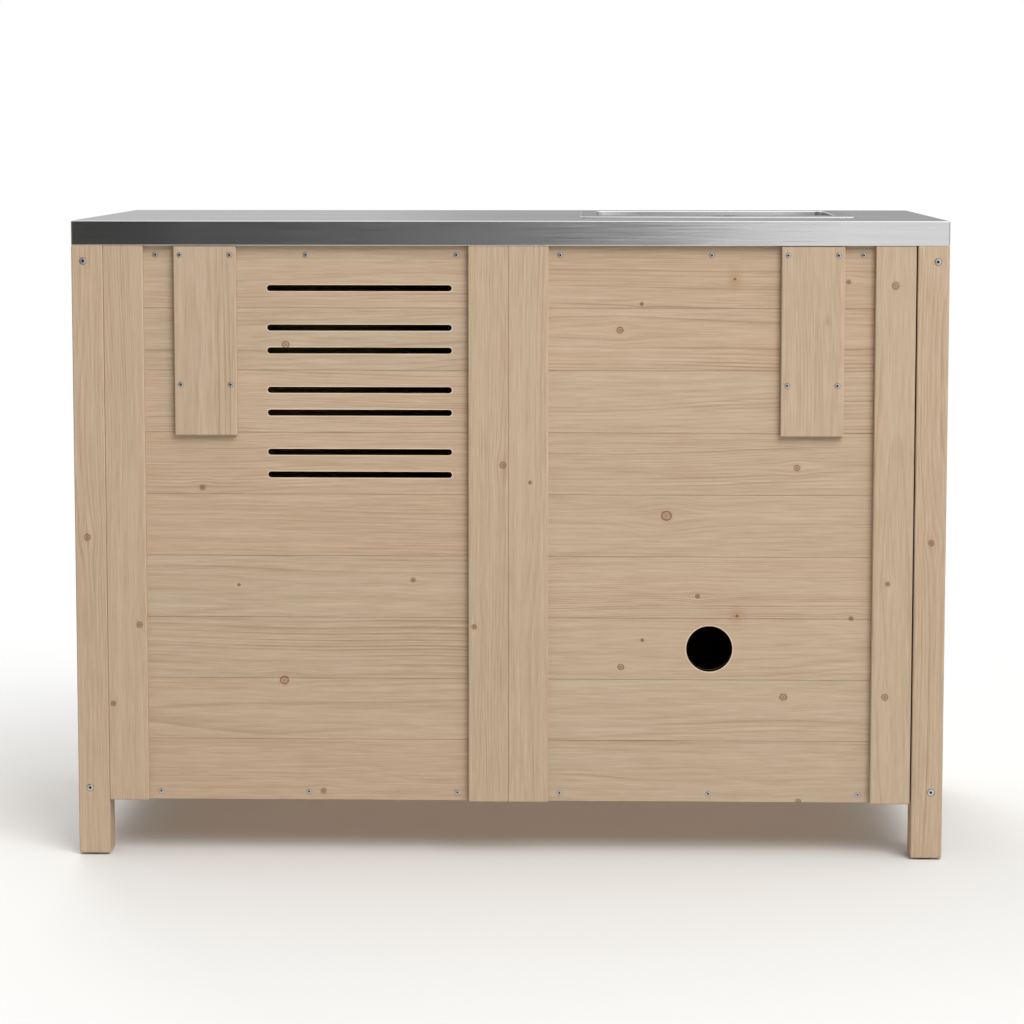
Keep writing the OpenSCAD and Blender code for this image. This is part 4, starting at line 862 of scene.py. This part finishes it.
def screwHead(name, w):
    # a countersunk head, its top at z = 0, with a six-lobed recess; round it, a ring of painted
    # shade lies on the wood
    r, c = w["head"], w["recess"]
    bm = bmesh.new()
    segments = 36

    def row(radius, z, lobes=0.0):
        angles = [2 * math.pi * i / segments for i in range(segments)]
        out = [radius * (1 + lobes * math.cos(6 * a)) for a in angles]
        return [Vector((o * math.cos(a), o * math.sin(a), z)) for o, a in zip(out, angles)]

    rows = loft(bm, [row(r * 0.55, -r * 0.5), row(r, -r * 0.12), row(r * 0.96, -r * 0.04),
                     row(r * 0.86, 0.0), row(c * 1.10, -r * 0.01, 0.12), row(c, -r * 0.05, 0.14),
                     row(c * 0.96, -r * 0.42, 0.14), row(c * 0.3, -r * 0.50)])
    bm.faces.new(rows[-1])
    bm.faces.new(rows[0])
    for face in bm.faces:                 # the recess gets the painted shade
        centre = face.calc_center_median()
        if centre.xy.length < c * 1.02 and centre.z > -r * 0.49:
            face.material_index = 1
    # the ring of painted shade round the head
    if w["rim"]:
        wide = r + w["rim"]
        before = set(bm.faces)
        loft(bm, [row(r * 0.98, -0.0006), row(r * 0.98, -0.0004), row(r * 1.06, -0.00005),
                  row(wide * 0.97, 0.00004), row(wide, -0.00012), row(wide, -0.0006),
                  row(r * 0.98, -0.0006)])
        for face in set(bm.faces) - before:
            face.material_index = 1
        bmesh.ops.remove_doubles(bm, verts=bm.verts, dist=0.000001)
    bmesh.ops.recalc_face_normals(bm, faces=bm.faces)
    obj = meshObject(name, bm, [screwSteel, screwShade])
    smoothByAngle(obj, 35)
    return obj


def scatterTree():
    # puts a head on each point of the base mesh, turned at random about its own axis; faces with
    # the second material index, the rims and recesses, get the painted shade
    tree = bpy.data.node_groups.new("setScrews", "GeometryNodeTree")
    for label, kind in (("Geometry", "Geometry"), ("Head", "Object"), ("Tilt", "Vector"),
                        ("Seed", "Int"), ("Finish", "Material"), ("Rim", "Material")):
        tree.interface.new_socket(label, in_out="INPUT", socket_type="NodeSocket" + kind)
    tree.interface.new_socket("Geometry", in_out="OUTPUT", socket_type="NodeSocketGeometry")
    g = Graph(tree)
    given = g.add("NodeGroupInput").outputs
    dots = g.add("GeometryNodeMeshToPoints", {"Mesh": given["Geometry"]})
    head = g.add("GeometryNodeObjectInfo", {"Object": given["Head"]})
    spin = g.add("FunctionNodeRandomValue", {2: 0.0, 3: 2 * math.pi, "Seed": given["Seed"]},
                 data_type="FLOAT")
    lean = g.add("FunctionNodeEulerToRotation", {0: given["Tilt"]})
    turn = g.add("FunctionNodeEulerToRotation", {0: g.join(0.0, 0.0, spin.outputs[1])})
    whole = g.add("FunctionNodeRotateRotation", {0: turn.outputs[0], 1: lean.outputs[0]})
    put = g.add("GeometryNodeInstanceOnPoints", {"Points": dots.outputs[0],
                                                 "Instance": head.outputs["Geometry"],
                                                 "Rotation": whole.outputs[0]})
    real = g.add("GeometryNodeRealizeInstances", {0: put.outputs[0]})
    index = g.add("GeometryNodeInputMaterialIndex").outputs[0]
    isRim = g.add("FunctionNodeCompare", {2: index, 3: 1}, data_type="INT", operation="EQUAL")
    isHead = g.add("FunctionNodeBooleanMath", {0: isRim.outputs[0]}, operation="NOT")
    rims = g.add("GeometryNodeSetMaterial", {"Geometry": real.outputs[0],
                                             "Selection": isRim.outputs[0],
                                             "Material": given["Rim"]})
    heads = g.add("GeometryNodeSetMaterial", {"Geometry": rims.outputs[0],
                                              "Selection": isHead.outputs[0],
                                              "Material": given["Finish"]})
    g.add("NodeGroupOutput", {0: heads.outputs[0]})
    return tree


setScrews = scatterTree()


def placeScrews(name, kind, points, tilt, body, replaced=None):
    w = screws[kind]
    head = screwHead(name + "Head", w)
    mesh = bpy.data.meshes.new(name)
    mesh.from_pydata(points, [], [])
    obj = bpy.data.objects.new(name, mesh)
    scene.collection.objects.link(obj)
    mod = obj.modifiers.new("setScrews", "NODES")
    mod.node_group = setScrews
    ids = {s.name: s.identifier for s in setScrews.interface.items_tree if s.in_out == "INPUT"}
    for label, value in (("Head", head), ("Tilt", tilt), ("Seed", w["seed"]),
                         ("Finish", screwSteel), ("Rim", screwShade)):
        mod[ids[label]] = value
    applyModifiers(obj)
    bpy.data.objects.remove(head)
    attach(obj, body)
    if replaced:
        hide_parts(replaced)


def solidMiddles(node):
    # the middles, in x and z, of a node's separate solids, in the plane of its rearmost point
    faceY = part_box(node)[1].y
    bm = bmesh.new()
    bm.from_mesh(nodes[node].data)
    bmesh.ops.remove_doubles(bm, verts=bm.verts, dist=0.00002)
    left, groups = set(bm.verts), []
    while left:
        stack, part = [left.pop()], []
        while stack:
            v = stack.pop()
            part.append(v.co.copy())
            for e in v.link_edges:
                o = e.other_vert(v)
                if o in left:
                    left.remove(o)
                    stack.append(o)
        x, z = [(min(p[i] for p in part) + max(p[i] for p in part)) / 2 for i in (0, 2)]
        groups.append((x, faceY, z))
    bm.free()
    return sorted(groups)


backScrews = {      # name: size, node that it replaces
    "panelScrewHeads": ("panel", "panel_screws"),
    "cleatScrewHeads": ("panel", "cleat_screws"),
    "postScrewHeads": ("post", "post_screws"),
}
toBack = (-math.pi / 2, 0, 0)      # a head's top turned to +Y
screwCount = 0
for name, (kind, node) in backScrews.items():
    points = solidMiddles(node)
    screwCount += len(points)
    placeScrews(name, kind, points, toBack, "cabinet", node)

hinges = {
    "post": 0.5561,            # x of the screws in the leaves on the posts, and on the doors
    "door": 0.5559,
    "y": -0.248,
    "z": (0.188, 0.737),       # middles of the hinges
    "step": 0.02533,           # from screw to screw
}


def hingePoints(side, x):
    return [(side * x, hinges["y"], z + k * hinges["step"]) for z in hinges["z"]
            for k in (-1, 0, 1)]


for side, label in ((-1, "left"), (1, "right")):
    quarter = side * math.pi / 2
    placeScrews("hingeScrewsPost_" + label, "hinge", hingePoints(side, hinges["post"]),
                (0, -quarter, 0), "cabinet")
    placeScrews("hingeScrewsDoor_" + label, "hinge", hingePoints(side, hinges["door"]),
                (0, quarter, 0), "door_" + label)
print("screws set:", screwCount, "in the back")


studio = {
    "floorRadius": 3.4,
    "floorFade": (0.55, 2.3),               # the floor thins out between these radii
    "floorColour": rgb(0.735, 0.742, 0.740),
    "sky": (0.12, 0.85, 0.50, 1.02),        # height of the direction from and to, levels there
    "ground": (0.0, -0.15, 0.0, -0.06),     # what is added below the horizon
    "back": (0.0, 0.35),                    # y of the direction from which the back is lit
    "lean": (-0.65, 0.65, 1.50, 0.50),      # it is lit more from the sink's side,
    "bounce": rgb(1.0, 0.80, 0.62),         # and with warm light from the other
    "bounceFrom": (0.30, 0.70),
    "front": (-0.2, -0.5),                  # beyond the cabinet, a step along the worktop:
    "step": (0.08, 0.03, 1.08, 0.74),
    # behind the camera, a dark side and a bright one, as the worktop's edge mirrors them:
    # x of the direction from and to, levels there, whether the change is eased
    "flag": ((0.132, 0.030, 0.047, 0.188, False), (-0.030, -0.047, 0.0, 1.55, True),
             (0.020, 0.0, 0.0, -0.13, True), (-0.066, -0.098, 0.0, -0.52, True)),
    "flagBand": ((0.25, 0.55), (0.50, 0.33), (0.56, 0.32)),      # y, x either way, z either way
}
softboxes = {      # "hide": the rays that don't see it; the first two would glare on the worktop
    "keySoftbox": {"place": (-2.0, 3.7, 3.9), "size": (3.0, 3.0), "power": 172.0,
                   "colour": (1.0, 0.985, 0.96), "aim": (0.0, 0.0, 0.5),
                   "hide": "visible_glossy"},
    "fillSoftbox": {"place": (1.2, -4.3, 3.6), "size": (2.6, 2.6), "power": 130.0,
                    "colour": (1.0, 0.99, 0.975), "aim": (0.0, 0.0, 0.5),
                    "hide": "visible_glossy"},
    # light that has bounced about below the cabinet
    "underGlow": {"place": (0.0, 0.0, 0.105), "size": (1.05, 0.44), "power": 0.29,
                  "colour": (1.0, 0.74, 0.56), "aim": (0.0, 0.0, 0.0),
                  "hide": "visible_camera"},
}
white = rgb(1.0, 1.0, 1.0)


def makeFloor(s):
    bm = bmesh.new()
    bmesh.ops.create_circle(bm, cap_ends=True, segments=96, radius=s["floorRadius"])
    mat, g, shader = newMaterial("paleFloor", **{"Roughness": 0.85, "Specular IOR Level": 0.15})
    place = g.add("ShaderNodeTexCoord").outputs["Object"]
    dust = g.between(g.noise(place, scale=1.5), 0.99, 1.01)
    g.give(shader.inputs["Base Color"], g.vector("SCALE", s["floorColour"][:3], dust))
    away = g.vector("LENGTH", place, out=1)
    g.give(shader.inputs["Alpha"], g.ramp(away, *s["floorFade"], 1.0, 0.0))
    floor = meshObject("studioFloor", bm, [mat])


def makeWorld(s):
    world = bpy.data.worlds.new("studioWorld")
    scene.world = world
    world.use_nodes = True
    world.node_tree.nodes.clear()
    g = Graph(world.node_tree)
    way = g.vector("NORMALIZE", g.add("ShaderNodeTexCoord").outputs["Generated"])
    x, y, z = g.split(way)
    base = g.math("ADD", g.ramp(z, *s["sky"]), g.ramp(z, *s["ground"]))
    level = g.math("SQRT", g.math("SUBTRACT", 1.0, g.math("MULTIPLY", z, z)))
    side = g.math("DIVIDE", x, g.math("MAXIMUM", level, 0.001))
    step = g.mixValue(g.ramp(y, *s["front"]), 1.0, g.ramp(side, *s["step"]))
    # light from one side draws a shadow on the other side of each upright
    back = g.ramp(y, *s["back"])
    lean = g.mixValue(back, 1.0, g.ramp(side, *s["lean"]))
    base = g.math("MULTIPLY", g.math("MULTIPLY", base, step), lean)
    tint = g.mix(g.math("MULTIPLY", back, g.ramp(side, *s["bounceFrom"])), white, s["bounce"])
    flag = 0.0
    for ramp in s["flag"]:
        flag = g.math("ADD", flag, g.ramp(side, *ramp))
    band = 1.0
    for value, edge in zip((y, g.math("ABSOLUTE", side), g.math("ABSOLUTE", z)), s["flagBand"]):
        band = g.math("MULTIPLY", band, g.ramp(value, *edge))
    soft = g.add("ShaderNodeBackground", {"Color": tint, "Strength": g.mixValue(band, base, flag)})
    seen = g.add("ShaderNodeBackground", {"Color": white, "Strength": 1.0})
    ray = g.add("ShaderNodeLightPath").outputs["Is Camera Ray"]
    both = g.add("ShaderNodeMixShader", {0: ray, 1: soft.outputs[0], 2: seen.outputs[0]})
    g.add("ShaderNodeOutputWorld", {"Surface": both.outputs[0]})


def makeSoftbox(name, w):
    data = bpy.data.lights.new(name, "AREA")
    data.shape = "RECTANGLE"
    data.size, data.size_y = w["size"]
    data.energy = w["power"]
    data.color = w["colour"]
    obj = bpy.data.objects.new(name, data)
    obj.location = w["place"]
    aim = Vector(w["aim"]) - Vector(w["place"])
    obj.rotation_mode = "QUATERNION"
    obj.rotation_quaternion = aim.to_track_quat("-Z", "Y")
    setattr(obj, w["hide"], False)
    scene.collection.objects.link(obj)


makeFloor(studio)
makeWorld(studio)
for name, softbox in softboxes.items():
    makeSoftbox(name, softbox)
print("studio lit")
